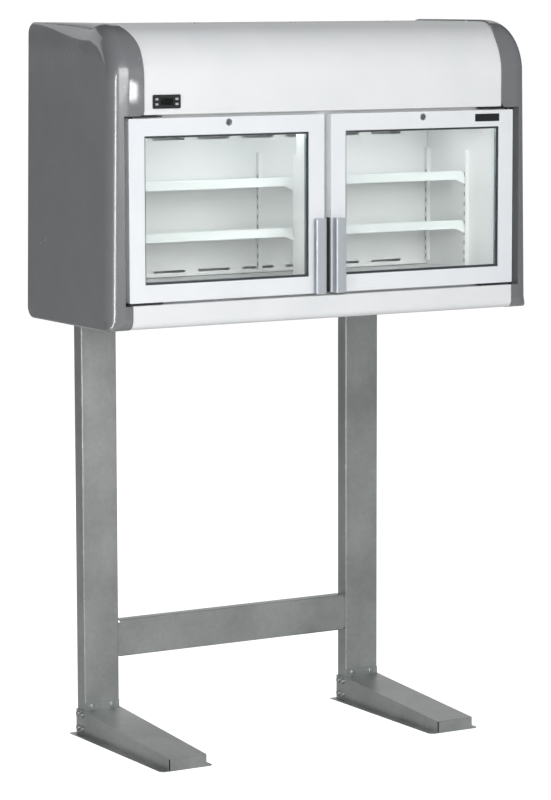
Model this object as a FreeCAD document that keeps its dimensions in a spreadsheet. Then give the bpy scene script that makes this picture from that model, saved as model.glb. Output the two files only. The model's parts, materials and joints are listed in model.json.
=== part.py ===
import FreeCAD, Part
import math
import os
from types import SimpleNamespace

import Sketcher
from FreeCAD import Placement, Rotation, Vector

# Topper display freezer with two glass doors on a folded steel stand.
# Millimetres, +Z up, X to the right, the doors face -Y.
# The origin is on the floor, in the middle of the overall width and depth.

doc = FreeCAD.newDocument("display_freezer")
sheet = doc.addObject("Spreadsheet::Sheet", "sizes")

SIZES = {
    # stand
    "post_width": 100, "post_depth": 41.5, "post_lip": 14, "post_spacing": 785, "post_overlap": 573,
    "steel": 2, "fold_radius": 4, "hanger_gap": 22.5,
    "crossbar_bottom": 193.5, "crossbar_height": 95, "crossbar_depth": 30, "crossbar_setback": 3,
    "crossbar_tab": 22, "crossbar_notch": 6,
    "foot_reach": 450.5, "foot_front_height": 31.7, "foot_rear_height": 64, "foot_flange": 20.3,
    "foot_clearance": 1, "foot_tab": 20, "foot_chamfer": 8,
    "stand_bolt": 8, "stand_bolt_head": 15, "stand_bolt_head_height": 4, "bolt_clearance": 0.2,
    "tab_bolt_height": 74, "tab_bolt_spacing": 57,
    "side_bolt_low": 15, "side_bolt_high": 51, "side_bolt_edge": 10, "side_bolt_spacing": 21,
    "hanger_width": 70, "hanger_rise": 163, "hanger_height": 330, "hanger_bolt_inset": 30,
    # cabinet
    "cabinet_bottom": 1087, "cabinet_height": 728, "cabinet_depth": 451,
    "end_width_bottom": 1208, "end_taper": 12, "end_wall": 3.5, "end_edge_radius": 44,
    "end_rear_edge_radius": 5, "end_corner_radius": 30, "front_curve": 130, "end_lap_width": 93,
    "end_top_lap_width": 55, "end_lap_curve": 97, "end_lap_straight": 65, "end_lap_corner": 15,
    "end_door_width": 39, "end_trim_width": 59,
    "cover_gap": 0.2, "cover_sheet": 1.5, "cover_tuck": 3, "cover_rear_drop": 35,
    "case_overhang": 8, "case_sheet": 0.8, "case_bottom_gap": 4, "case_top_step": 1, "case_setback": 38.5,
    "liner_inset": 35, "liner_sheet": 1.5, "liner_floor_rise": 23, "liner_ceiling_drop": 39, "liner_depth": 365,
    "frame_flange": 2, "frame_sleeve": 3, "frame_sleeve_depth": 65,
    "mullion_width": 40, "mullion_face_width": 68, "mullion_depth": 89, "mullion_face": 3,
    "ledge_height": 12, "ledge_gap": 8, "ledge_proud": 1, "ledge_wall": 2,
    "trim_height": 60, "trim_recess": 2, "trim_wall": 2, "trim_radius": 18, "trim_lip": 30,
    "screw": 2, "screw_head": 4.5, "screw_head_height": 2, "cover_screw_step": 241,
    "cover_screw_lap": 5, "cover_screw_setback": 170,
    # machine space above the insulated box
    "machine_wall": 1.2, "louvre_count": 9, "louvre_pitch": 14, "louvre_width": 200, "louvre_height": 5,
    "compressor_radius": 72, "compressor_height": 140, "compressor_edge": 208, "compressor_y": 50,
    "compressor_foot": 150, "compressor_foot_sheet": 3,
    "grommet_radius": 11, "grommet_height": 14, "grommet_spacing": 120,
    "condenser_width": 240, "condenser_depth": 70, "condenser_height": 165, "condenser_x": -120,
    "condenser_y": 60, "fin_thickness": 1.2, "fin_pitch": 8, "fin_rim": 12,
    "fan_radius": 68, "fan_hub": 20, "fan_depth": 22, "fan_tip_gap": 5, "fan_plate": 2, "fan_gap": 6,
    "motor_radius": 26, "motor_length": 38, "motor_shaft": 4,
    # evaporator duct at the back of the cabin
    "duct_depth": 55, "duct_sheet": 1.5, "duct_slot_share": 0.175, "duct_slot_height": 6,
    "duct_slot_drop": 14,
    "evaporator_side_gap": 105, "evaporator_depth": 36, "evaporator_height": 190, "evaporator_rise": 39,
    "air_fan_radius": 40, "air_fan_hub": 13, "air_fan_depth": 14, "air_fan_drop": 82,
    "pipe_radius": 4, "pipe_bend": 24, "suction_edge": 88, "pipe_y": 120,
    # shelves
    "shelf_rise": 106, "shelf_pitch": 126, "shelf_sheet": 1.5, "shelf_lip": 22, "shelf_lip_corner": 14,
    "shelf_inner": 9, "shelf_side_gap": 2, "shelf_front": 158, "shelf_back_gap": 8,
    "pilaster": 10, "pilaster_depth": 12, "pilaster_rise": 11, "pilaster_drop": 69,
    "pilaster_back": 168, "clip_length": 28, "clip_height": 12, "clip_thickness": 3,
    "lamp_side_gap": 65, "lamp_size": 14,
    # doors
    "door_side_gap": 15, "door_gap": 21, "door_rise": 66, "door_height": 438, "door_recess": 7,
    "door_depth": 24, "door_frame": 42, "door_edge_radius": 2, "glass": 4, "pane_inset": 4,
    "pane_groove": 7, "pane_gap": 8, "pane_clearance": 0.3, "spacer_width": 5,
    "gasket_width": 12, "gasket_gap": 0.3, "gasket_hinge_inset": 18, "gasket_inner_inset": 5,
    "gasket_bottom_inset": 4, "gasket_top_inset": 24,
    "handle_reach": 21, "handle_width": 29, "handle_inset": 3.5, "handle_height": 184, "handle_wall": 2.5,
    "handle_foot": 26, "handle_lip": 4,
    "lock_drop": 13.5, "lock_offset": 2.25, "lock_radius": 8.5, "lock_flange": 1.5, "lock_body": 7.5,
    "key_radius": 5.5, "lock_fit": 0.05, "cam_length": 19.5, "cam_width": 9, "cam_thickness": 2,
    "cam_gap": 1, "strike_width": 24, "strike_thickness": 1.5, "strike_drop": 4,
    "hinge_pivot": 12, "hinge_pin": 4, "hinge_pin_reach": 12, "hinge_plate": 3, "hinge_length": 92,
    "hinge_gap_top": 2.5, "hinge_gap_bottom": 1.5, "hinge_flange": 20, "hinge_fit": 0.05,
    "badge_width": 73, "badge_height": 19, "badge_edge": 42, "badge_drop": 19, "badge_thickness": 1,
    # controller in the front cover
    "panel_width": 75, "panel_height": 33, "panel_edge": 61, "panel_drop": 185, "panel_proud": 3,
    "panel_body_width": 68, "panel_body_height": 27, "panel_body_depth": 55, "panel_fit": 0.3,
    "window_width": 34, "window_height": 16, "window_depth": 1.5,
    "button_width": 8, "button_height": 5.5, "button_travel": 0.8, "button_proud": 1.2, "button_length": 5,
    "button_x": 27, "button_z": 6, "button_gap": 0.3,
    # mains inlet
    "inlet_radius": 11, "inlet_length": 14, "inlet_bore": 4.5, "inlet_edge": 78, "inlet_rise": 40,
}


class Size:
    """A length with its formula for the document and its present value."""

    def __init__(self, formula, value):
        self.formula = formula
        self.value = float(value)

    def __add__(self, other):
        other = as_size(other)
        return Size(f"({self.formula} + {other.formula})", self.value + other.value)

    def __sub__(self, other):
        other = as_size(other)
        return Size(f"({self.formula} - {other.formula})", self.value - other.value)

    def __mul__(self, factor):
        return Size(f"({self.formula} * {factor})", self.value * factor)

    def __truediv__(self, divisor):
        return Size(f"({self.formula} / {divisor})", self.value / divisor)

    def __neg__(self):
        return Size(f"(0 - {self.formula})", -self.value)

    def __radd__(self, other):
        return as_size(other) + self

    def __rsub__(self, other):
        return as_size(other) - self


def as_size(value):
    return value if isinstance(value, Size) else Size(f"{value:g}", value)


for row, (name, number) in enumerate(SIZES.items(), start=1):
    sheet.set(f"A{row}", name)
    sheet.set(f"B{row}", str(number))
    sheet.setAlias(f"B{row}", name)
doc.recompute()
d = SimpleNamespace(**{name: Size(f"sizes.{name}", number) for name, number in SIZES.items()})
ZERO = as_size(0)

# ---------------------------------------------------------------- sizes that follow from the named ones

# across: everything follows the width over the end panels
d.end_half = d.end_width_bottom / 2
d.end_width_top = d.end_width_bottom - d.end_taper * 2
d.end_cover_lap = d.end_half - d.end_lap_width
d.end_top_lap = d.end_width_top / 2 - d.end_top_lap_width
d.end_door_edge = d.end_half - d.end_door_width
d.end_trim_edge = d.end_half - d.end_trim_width
d.door_outer = d.end_door_edge - d.door_side_gap
d.cover_screw_outer = d.end_cover_lap + d.cover_screw_lap
d.cover_screw_inner = d.cover_screw_outer - d.cover_screw_step
d.lock_x = (d.door_gap / 2 + d.door_outer) / 2 - d.lock_offset
d.badge_x = d.door_outer - d.badge_edge - d.badge_width / 2
d.panel_x = d.end_cover_lap - d.panel_edge
# up: everything follows the underside of the cabinet and the height of the doors
d.post_height = d.cabinet_bottom + d.post_overlap
d.hanger_bottom = d.cabinet_bottom + d.hanger_rise
d.trim_top = d.cabinet_bottom + d.trim_height
d.door_bottom = d.cabinet_bottom + d.door_rise
d.door_top = d.door_bottom + d.door_height
d.ledge_bottom = d.door_top + d.ledge_gap
d.case_top = d.ledge_bottom + d.case_top_step
d.liner_floor = d.door_bottom + d.liner_floor_rise
d.liner_ceiling = d.door_top - d.liner_ceiling_drop
d.shelf_low = d.liner_floor + d.shelf_rise
d.pilaster_bottom = d.liner_floor + d.pilaster_rise
d.pilaster_top = d.liner_ceiling - d.pilaster_drop
d.evaporator_bottom = d.liner_floor + d.evaporator_rise
d.air_fan_height = d.liner_ceiling - d.air_fan_drop
d.duct_slot_top = d.liner_ceiling - d.duct_slot_drop
d.inlet_height = d.case_top + d.inlet_rise

# ---------------------------------------------------------------- planes and lines shared by the pieces

overall_depth = d.post_depth + d.hanger_gap + d.cabinet_depth - d.door_recess + d.handle_reach
post_back = overall_depth / 2
post_front = post_back - d.post_depth
cabinet_back = post_front - d.hanger_gap
cabinet_front = cabinet_back - d.cabinet_depth
cabinet_top = d.cabinet_bottom + d.cabinet_height
door_front = cabinet_front + d.door_recess
door_back = door_front + d.door_depth
case_front = cabinet_front + d.case_setback
case_back = cabinet_back - d.end_wall - d.cover_gap
case_bottom = d.cabinet_bottom + d.case_bottom_gap
case_half = d.door_outer + d.case_overhang
liner_half = d.door_outer - d.liner_inset
compressor_x = case_half - d.compressor_edge
inlet_x = case_half - d.inlet_edge
liner_back = case_front + d.liner_depth
frame_front = case_front - d.frame_flange
duct_front = liner_back - d.duct_depth
shelf_front = cabinet_front + d.shelf_front
post_centre = d.post_spacing / 2

parts = {}


def part(name, thing):
    """Give a finished sub-part its own name."""
    thing.Label = name
    parts[name] = thing
    return thing


def place(thing, x, y, z):
    for axis, size in zip("xyz", (x, y, z)):
        thing.setExpression(f"Placement.Base.{axis}", as_size(size).formula)
    return thing


def block(name, x0, x1, y0, y1, z0, z1):
    """A block between two corners."""
    thing = doc.addObject("Part::Box", name)
    for side, low, high in (("Length", x0, x1), ("Width", y0, y1), ("Height", z0, z1)):
        thing.setExpression(side, (as_size(high) - as_size(low)).formula)
    return place(thing, x0, y0, z0)


TURNS = {"X": Rotation(Vector(0, 1, 0), 90), "Y": Rotation(Vector(1, 0, 0), -90), "Z": Rotation()}


def rod(name, axis, x, y, z, radius, length):
    """A round bar that starts at a point and runs along an axis."""
    thing = doc.addObject("Part::Cylinder", name)
    thing.Placement = Placement(Vector(), TURNS[axis])
    thing.setExpression("Radius", as_size(radius).formula)
    thing.setExpression("Height", as_size(length).formula)
    return place(thing, x, y, z)


def cut(name, base, *tools):
    thing = doc.addObject("Part::Cut", name)
    thing.Base = base
    thing.Tool = tools[0] if len(tools) == 1 else join(f"{name}_tools", *tools)
    return thing


def join(name, *pieces):
    thing = doc.addObject("Part::MultiFuse", name)
    thing.Shapes = list(pieces)
    thing.Refine = True
    return thing


def group(name, pieces):
    """Separate solids that share one name."""
    thing = doc.addObject("Part::Compound", name)
    thing.Links = list(pieces)
    return thing


def across(side, inner, outer):
    """The two X values of a piece on one side of the middle, low one first."""
    inner = as_size(inner)
    outer = as_size(outer)
    return (inner, outer) if side > 0 else (-outer, -inner)


def mirrored(side, x):
    return as_size(x) if side > 0 else -as_size(x)


PLANES = {"X": "YZ_Plane", "Y": "XZ_Plane", "Z": "XY_Plane"}


def prism(name, axis, path, low, high):
    """A closed outline drawn square to an axis and drawn out from low to high along it.

    Each point of the outline is (across, up), or (across, up, radius, turn) where an arc leads
    to the next point, turning left for +1 and right for -1."""
    low = as_size(low)
    high = as_size(high)
    body = doc.addObject("PartDesign::Body", name)
    plane = [item for item in body.Origin.OriginFeatures if item.Role == PLANES[axis]][0]
    sketch = body.newObject("Sketcher::SketchObject", f"{name}_outline")
    sketch.AttachmentSupport = [(plane, "")]
    sketch.MapMode = "FlatFace"
    start = -high if axis == "Y" else low
    sketch.setExpression("AttachmentOffset.Base.z", start.formula)
    ends = []
    for index, here in enumerate(path):
        there = path[(index + 1) % len(path)]
        a = Vector(as_size(here[0]).value, as_size(here[1]).value, 0)
        b = Vector(as_size(there[0]).value, as_size(there[1]).value, 0)
        if len(here) == 2:
            ends.append((sketch.addGeometry(Part.LineSegment(a, b), False), 1, 2))
            continue
        radius = as_size(here[2]).value
        half = (b - a) * 0.5
        rise = math.sqrt(max(radius * radius - half.Length ** 2, 0.0))
        centre = (a + b) * 0.5 + Vector(-half.y, half.x, 0) * (here[3] * rise / half.Length)
        circle = Part.Circle(centre, Vector(0, 0, 1), radius)
        first, last = (a, b) if here[3] > 0 else (b, a)
        angles = [math.atan2(point.y - centre.y, point.x - centre.x) for point in (first, last)]
        curve = Part.ArcOfCircle(circle, angles[0], angles[1])
        number = sketch.addGeometry(curve, False)
        ends.append((number, 1, 2) if here[3] > 0 else (number, 2, 1))
    for index, here in enumerate(path):
        number, start_end, stop_end = ends[index]
        follower, follower_start, _ = ends[(index + 1) % len(path)]
        sketch.addConstraint(Sketcher.Constraint("Coincident", number, stop_end, follower, follower_start))
        for letter, kind, size in (("x", "DistanceX", here[0]), ("y", "DistanceY", here[1])):
            size = as_size(size)
            made = sketch.addConstraint(Sketcher.Constraint(kind, -1, 1, number, start_end, size.value))
            sketch.renameConstraint(made, f"{letter}{index}")
            sketch.setExpression(f"Constraints.{letter}{index}", size.formula)
        if len(here) == 4:
            radius = as_size(here[2])
            made = sketch.addConstraint(Sketcher.Constraint("Radius", number, radius.value))
            sketch.renameConstraint(made, f"r{index}")
            sketch.setExpression(f"Constraints.r{index}", radius.formula)
    pad = body.newObject("PartDesign::Pad", f"{name}_pad")
    pad.Profile = sketch
    pad.setExpression("Length", (high - low).formula)
    body.Tip = pad
    return body


def folded(points, thickness, bends, side):
    """The outline of a sheet folded square along points, with its thickness on one side of them.

    bends holds the outer radius of each fold; side is +1 when the thickness lies on the left."""
    points = [(as_size(x), as_size(y)) for x, y in points]
    runs = []
    for (x0, y0), (x1, y1) in zip(points, points[1:]):
        dx = x1.value - x0.value
        dy = y1.value - y0.value
        length = math.hypot(dx, dy)
        runs.append((round(dx / length), round(dy / length)))
    near = [points[0]]
    far = []
    dx, dy = runs[0]
    far.append((points[0][0] + thickness * (-dy * side), points[0][1] + thickness * (dx * side)))
    for index, (x, y) in enumerate(points[1:-1]):
        (ax, ay), (bx, by) = runs[index], runs[index + 1]
        turn = 1 if ax * by - ay * bx > 0 else -1
        outer = bends[index]
        inner = outer - thickness
        radius_here, radius_far = (outer, inner) if turn == side else (inner, outer)
        near.append((x - radius_here * ax, y - radius_here * ay, radius_here, turn))
        near.append((x + radius_here * bx, y + radius_here * by))
        corner_x = x + thickness * (-(ay + by) * side)
        corner_y = y + thickness * ((ax + bx) * side)
        far.append((corner_x - radius_far * ax, corner_y - radius_far * ay))
        far.append((corner_x + radius_far * bx, corner_y + radius_far * by, radius_far, -turn))
    dx, dy = runs[-1]
    near.append(points[-1])
    far.append((points[-1][0] + thickness * (-dy * side), points[-1][1] + thickness * (dx * side)))
    return near + far[::-1]


def rectangle(x0, x1, y0, y1, radius):
    """A rectangle with rounded corners."""
    x0, x1, y0, y1 = (as_size(size) for size in (x0, x1, y0, y1))
    return [(x0 + radius, y0), (x1 - radius, y0, radius, 1), (x1, y0 + radius), (x1, y1 - radius, radius, 1),
            (x1 - radius, y1), (x0 + radius, y1, radius, 1), (x0, y1 - radius), (x0, y0 + radius, radius, 1)]


# ---------------------------------------------------------------- stand

hole = d.stand_bolt / 2 + d.bolt_clearance
side_bolt_y = [post_front + d.side_bolt_edge, post_front + d.side_bolt_edge + d.side_bolt_spacing]
side_bolt_z = [d.side_bolt_low, d.side_bolt_high]
crossbar_y = post_front + d.crossbar_setback
crossbar_top = d.crossbar_bottom + d.crossbar_height
crossbar_bolt_z = [d.crossbar_bottom + d.crossbar_height / 4, crossbar_top - d.crossbar_height / 4]
crossbar_bolt_y = crossbar_y + d.crossbar_depth / 2
foot_half = d.post_width / 2 + d.foot_clearance + d.steel
foot_front = post_front - d.foot_reach


def bolt_head(name, axis, x, y, z, outward):
    """A low round head with its outer edge rounded off."""
    if axis == "Y":
        y = as_size(y) - d.stand_bolt_head_height
    elif outward < 0:
        x = as_size(x) - d.stand_bolt_head_height
    disc = rod(f"{name}_disc", axis, x, y, z, d.stand_bolt_head / 2, d.stand_bolt_head_height)
    doc.recompute()
    rim = []
    for number, edge in enumerate(disc.Shape.Edges, start=1):
        middle = edge.BoundBox.Center
        reach = middle.y if axis == "Y" else middle.x * outward
        centre = disc.Shape.BoundBox.Center
        beyond = reach - (centre.y if axis == "Y" else centre.x * outward)
        if edge.Curve.TypeId == "Part::GeomCircle" and (beyond < 0 if axis == "Y" else beyond > 0):
            rim.append((number, d.stand_bolt_head_height.value * 0.6, d.stand_bolt_head_height.value * 0.6))
    rounded = doc.addObject("Part::Fillet", f"{name}_head")
    rounded.Base = disc
    rounded.Edges = rim
    return rounded


def bolt(name, axis, x, y, z, length, outward=1):
    """A round-headed bolt whose head sits on the face at the given point."""
    x = as_size(x)
    y = as_size(y)
    head = bolt_head(name, axis, x, y, z, outward)
    if axis == "X" and outward > 0:
        shank = rod(f"{name}_shank", "X", x - length, y, z, d.stand_bolt / 2, length)
    else:
        shank = rod(f"{name}_shank", axis, x, y, z, d.stand_bolt / 2, length)
    return join(name, head, shank)


stand_bolts = []
for side, word in ((-1, "left"), (1, "right")):
    centre = mirrored(side, post_centre)
    x0 = centre - d.post_width / 2
    x1 = centre + d.post_width / 2
    channel = folded([(x0 + d.post_lip, post_back), (x0, post_back), (x0, post_front), (x1, post_front),
                      (x1, post_back), (x1 - d.post_lip, post_back)], d.steel, [d.fold_radius] * 4, 1)
    post = prism(f"{word}_post_channel", "Z", channel, 0, d.post_height)
    holes = []
    for y in side_bolt_y:
        for z in side_bolt_z:
            holes.append(rod(f"{word}_post_hole", "X", x0 - d.steel, y, z, hole, d.post_width + d.steel * 2))
    for step in (-1, 1):
        x = centre + d.tab_bolt_spacing * (step * 0.5)
        holes.append(rod(f"{word}_post_tab_hole", "Y", x, post_front - d.steel, d.tab_bolt_height, hole,
                         d.steel * 3))
    inner_wall = x1 if side < 0 else x0
    for z in crossbar_bolt_z:
        holes.append(rod(f"{word}_post_bar_hole", "X", inner_wall - d.steel * 2, crossbar_bolt_y, z, hole,
                         d.steel * 4))
    for z in (d.hanger_bottom + d.hanger_bolt_inset, d.hanger_bottom + d.hanger_height - d.hanger_bolt_inset):
        holes.append(rod(f"{word}_post_hanger_hole", "Y", centre, post_front - d.steel, z, hole, d.steel * 3))
    part(f"{word}_post", cut(f"{word}_post", post, *holes))

    # foot: a tapered folded channel round the post, with flanges on the floor and a tab up the post
    fx0 = centre - foot_half
    fx1 = centre + foot_half
    skin = prism(f"{word}_foot_skin", "X",
                 [(foot_front, ZERO), (post_back, ZERO), (post_back, d.foot_rear_height),
                  (post_front, d.foot_rear_height), (foot_front, d.foot_front_height)], fx0, fx1)
    hollow = prism(f"{word}_foot_hollow", "X",
                   [(foot_front + d.steel, -d.steel), (post_back + d.steel, -d.steel),
                    (post_back + d.steel, d.foot_rear_height + d.steel),
                    (post_front - d.foot_clearance, d.foot_rear_height + d.steel),
                    (post_front - d.foot_clearance, d.foot_rear_height - d.steel),
                    (foot_front + d.steel, d.foot_front_height - d.steel)],
                   fx0 + d.steel, fx1 - d.steel)
    tab = block(f"{word}_foot_tab", centre - d.post_width / 2 + d.foot_clearance,
                centre + d.post_width / 2 - d.foot_clearance,
                post_front - d.steel, post_front, d.foot_rear_height - d.steel * 2,
                d.foot_rear_height + d.foot_tab)
    flanges = []
    for step, edge in ((-1, fx0), (1, fx1)):
        outer = edge + d.foot_flange * step
        near = edge - d.steel * step
        outline = [(near, foot_front), (outer - d.foot_chamfer * step, foot_front),
                   (outer, foot_front + d.foot_chamfer), (outer, post_back), (near, post_back)]
        flanges.append(prism(f"{word}_foot_flange", "Z", outline if step > 0 else outline[::-1], 0, d.steel))
    shell = cut(f"{word}_foot_shell", skin, hollow)
    folded_foot = join(f"{word}_foot_folded", shell, tab, *flanges)
    holes = []
    for y in side_bolt_y:
        for z in side_bolt_z:
            holes.append(rod(f"{word}_foot_hole", "X", fx0 - d.steel, y, z, hole, foot_half * 2 + d.steel * 2))
            for step, edge in ((-1, fx0), (1, fx1)):
                stand_bolts.append(bolt(f"{word}_side_bolt", "X", edge, y, z, d.steel * 4, step))
    for step in (-1, 1):
        x = centre + d.tab_bolt_spacing * (step * 0.5)
        holes.append(rod(f"{word}_tab_hole", "Y", x, post_front - d.steel * 2, d.tab_bolt_height, hole,
                         d.steel * 3))
        stand_bolts.append(bolt(f"{word}_tab_bolt", "Y", x, post_front - d.steel, d.tab_bolt_height,
                               d.steel * 4))
    part(f"{word}_foot", cut(f"{word}_foot", folded_foot, *holes))

# crossbar: a channel open at the back, with a tab at each end against the posts
bar_inner = post_centre - d.post_width / 2
bar = prism("crossbar_channel", "X",
            folded([(crossbar_y + d.crossbar_depth, d.crossbar_bottom), (crossbar_y, d.crossbar_bottom),
                    (crossbar_y, crossbar_top), (crossbar_y + d.crossbar_depth, crossbar_top)],
                   d.steel, [d.fold_radius] * 2, -1), -bar_inner, bar_inner)
bar_cuts = []
bar_tabs = []
bar_holes = []
for side in (-1, 1):
    tab_x = across(side, bar_inner - d.steel, bar_inner)
    notch_x = across(side, bar_inner - d.crossbar_notch, bar_inner + d.steel)
    for low, high in ((d.crossbar_bottom - d.steel, d.crossbar_bottom + d.crossbar_notch),
                      (crossbar_top - d.crossbar_notch, crossbar_top + d.steel)):
        bar_cuts.append(block("crossbar_notch_cut", notch_x[0], notch_x[1], crossbar_y - d.steel,
                              crossbar_y + d.crossbar_depth + d.steel, low, high))
    bar_tabs.append(block("crossbar_tab_wall", tab_x[0], tab_x[1], crossbar_y,
                          crossbar_y + d.crossbar_tab, d.crossbar_bottom + d.crossbar_notch,
                          crossbar_top - d.crossbar_notch))
    for z in crossbar_bolt_z:
        bar_holes.append(rod("crossbar_hole", "X", tab_x[0] - d.steel, crossbar_bolt_y, z, hole, d.steel * 3))
        start = mirrored(side, bar_inner - d.steel)
        stand_bolts.append(bolt("crossbar_bolt", "X", start, crossbar_bolt_y, z, d.steel * 4, -side))
notched = cut("crossbar_notched", bar, *bar_cuts)
part("crossbar", cut("crossbar", join("crossbar_tabbed", notched, *bar_tabs), *bar_holes))

# hangers: channels that fill the gap between the back of the cabinet and the posts
hangers = []
for side in (-1, 1):
    centre = mirrored(side, post_centre)
    x0 = centre - d.hanger_width / 2
    x1 = centre + d.hanger_width / 2
    outline = folded([(x0, case_back), (x0, post_front), (x1, post_front), (x1, case_back)],
                     d.steel, [d.fold_radius] * 2, -1)
    channel = prism("hanger_channel", "Z", outline, d.hanger_bottom, d.hanger_bottom + d.hanger_height)
    base = block("hanger_base", x0, x1, case_back, case_back + d.steel, d.hanger_bottom,
                 d.hanger_bottom + d.hanger_height)
    holes = []
    for z in (d.hanger_bottom + d.hanger_bolt_inset, d.hanger_bottom + d.hanger_height - d.hanger_bolt_inset):
        holes.append(rod("hanger_hole", "Y", centre, post_front - d.steel * 2, z, hole, d.steel * 3))
        stand_bolts.append(bolt("hanger_bolt", "Y", centre, post_front - d.steel, z, d.steel * 4))
    hangers.append(cut("hanger", join("hanger_box", channel, base), *holes))
part("hanger_brackets", group("hanger_brackets", hangers))
part("stand_bolts", group("stand_bolts", stand_bolts))

def end_profile(inset):
    """The side view of an end panel, drawn in by an inset: a square back and a curved front top."""
    low = d.cabinet_bottom + inset
    high = cabinet_top - inset
    front = cabinet_front + inset
    back = cabinet_back - inset
    corner = d.end_corner_radius - inset
    curve = d.front_curve - inset
    return [(front + corner, low), (back - corner, low, corner, 1), (back, low + corner),
            (back, high - corner, corner, 1), (back - corner, high), (front + curve, high, curve, 1),
            (front, high - curve), (front, low + corner, corner, 1)]


# ---------------------------------------------------------------- insulated box



def case_solid(name, inset):
    """The insulated box as a full block, drawn in by an inset, with its lower rear edge rounded."""
    body = block(f"{name}_block", -case_half + inset, case_half - inset, case_front, case_back - inset,
                 case_bottom + inset, d.case_top - inset)
    outline = prism(f"{name}_outline", "X", end_profile(d.end_wall + d.cover_gap + inset), -case_half,
                    case_half)
    common = doc.addObject("Part::MultiCommon", f"{name}_common")
    common.Shapes = [body, outline]
    return common


part("cabinet_case", cut("cabinet_case", case_solid("case", ZERO), case_solid("case_hollow", d.case_sheet)))
part("insulation", cut("insulation", case_solid("foam", d.case_sheet),
                       block("foam_hollow", -liner_half - d.liner_sheet, liner_half + d.liner_sheet,
                             case_front - d.case_sheet, liner_back + d.liner_sheet,
                             d.liner_floor - d.liner_sheet, d.liner_ceiling + d.liner_sheet)))
part("inner_liner", cut("inner_liner",
                        block("liner_block", -liner_half - d.liner_sheet, liner_half + d.liner_sheet,
                              case_front, liner_back + d.liner_sheet,
                              d.liner_floor - d.liner_sheet, d.liner_ceiling + d.liner_sheet),
                        block("liner_hollow", -liner_half, liner_half, case_front - d.liner_sheet,
                              liner_back, d.liner_floor, d.liner_ceiling)))
frame_plate = block("frame_plate", -case_half, case_half, frame_front, case_front, case_bottom, d.case_top)
frame_sleeve = block("frame_sleeve_block", -liner_half, liner_half, frame_front,
                     case_front + d.frame_sleeve_depth, d.liner_floor, d.liner_ceiling)
frame_opening = block("frame_opening", -liner_half + d.frame_sleeve, liner_half - d.frame_sleeve,
                      frame_front - d.frame_flange, case_front + d.frame_sleeve_depth + d.frame_flange,
                      d.liner_floor + d.frame_sleeve, d.liner_ceiling - d.frame_sleeve)
part("front_frame", cut("front_frame", join("frame_solid", frame_plate, frame_sleeve), frame_opening))
part("mullion", join("mullion",
                     block("mullion_plate", -d.mullion_face_width / 2, d.mullion_face_width / 2,
                           frame_front, frame_front + d.mullion_face,
                           d.liner_floor + d.frame_sleeve, d.liner_ceiling - d.frame_sleeve),
                     block("mullion_post", -d.mullion_width / 2, d.mullion_width / 2,
                           frame_front, frame_front + d.mullion_depth,
                           d.liner_floor + d.frame_sleeve, d.liner_ceiling - d.frame_sleeve)))

# ---------------------------------------------------------------- end panels


def facing(side, outline):
    """An outline drawn for the right-hand end, turned over for the left-hand one.
    It is taken the other way round there, so each arc starts at its other end."""
    if side > 0:
        return outline
    return [(-outline[index][0], outline[index][1]) + tuple(outline[index - 1][2:])
            for index in range(len(outline) - 1, -1, -1)]


def end_front_view(side, inset):
    """The front view of an end panel's inner edges: a curved lap on the cover and a notch for the door."""
    low = d.cabinet_bottom - 1
    high = cabinet_top + 1
    outer = d.end_half + d.end_wall
    lap_top = cabinet_top - d.front_curve + d.end_lap_straight
    corner = d.end_lap_corner
    upper = d.ledge_bottom - d.frame_flange + inset
    lower = d.trim_top - inset
    lap = d.end_cover_lap + inset
    door = d.end_door_edge + inset
    return facing(side, [(d.end_trim_edge + inset, low), (outer, low), (outer, high),
                         (d.end_top_lap + inset, high, d.end_lap_curve, 1), (lap, lap_top),
                         (lap, upper + corner, corner, 1), (lap + corner, upper), (door, upper),
                         (door, lower), (d.end_trim_edge + inset, lower)])


def end_block(side, name, inset):
    """An end panel's full block, narrower to the top. Its outer edge is rounded in front and nearly
    square at the back and underneath."""
    inner = d.end_cover_lap - d.end_wall * 2
    low = d.cabinet_bottom - 1
    high = cabinet_top + 1
    side_view = prism(f"{name}_side_view", "X", end_profile(inset),
                      *across(side, inner, d.end_half + d.end_wall))
    taper = prism(f"{name}_taper", "Y",
                  facing(side, [(inner - 1, low), (d.end_half - inset, low),
                                (d.end_width_top / 2 - inset, high), (inner - 1, high)]),
                  cabinet_front - 1, cabinet_back + 1)
    common = doc.addObject("Part::MultiCommon", f"{name}_common")
    common.Shapes = [side_view, taper]
    doc.recompute()
    outer_face = max(common.Shape.Faces, key=lambda face: face.CenterOfMass.x * side)
    narrow = (d.end_rear_edge_radius - inset).value
    wide = (d.end_edge_radius - inset).value
    front = (cabinet_front + inset).value
    curve_end = (cabinet_front + d.front_curve).value
    curve_start = (cabinet_top - d.front_curve).value
    edges = []
    for number, edge in enumerate(common.Shape.Edges, start=1):
        if not any(edge.isSame(other) for other in outer_face.Edges):
            continue
        radii = []
        for end in (edge.firstVertex().Point, edge.lastVertex().Point):
            over_curve = end.y < curve_end + 1 and end.z > curve_start - 1
            radii.append(wide if over_curve or end.y < front + 1 else narrow)
        edges.append((number, radii[0], radii[1]))
    rounded = doc.addObject("Part::Fillet", f"{name}_rounded")
    rounded.Base = common
    rounded.Edges = edges
    return rounded


def end_solid(side, name, inset):
    """An end panel as a full block with its inner edges cut to the front view."""
    full = end_block(side, name, inset)
    front_view = prism(f"{name}_front_view", "Y", end_front_view(side, inset),
                       cabinet_front - 1, cabinet_back + 1)
    common = doc.addObject("Part::MultiCommon", f"{name}_solid")
    common.Shapes = [full, front_view]
    return common


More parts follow.
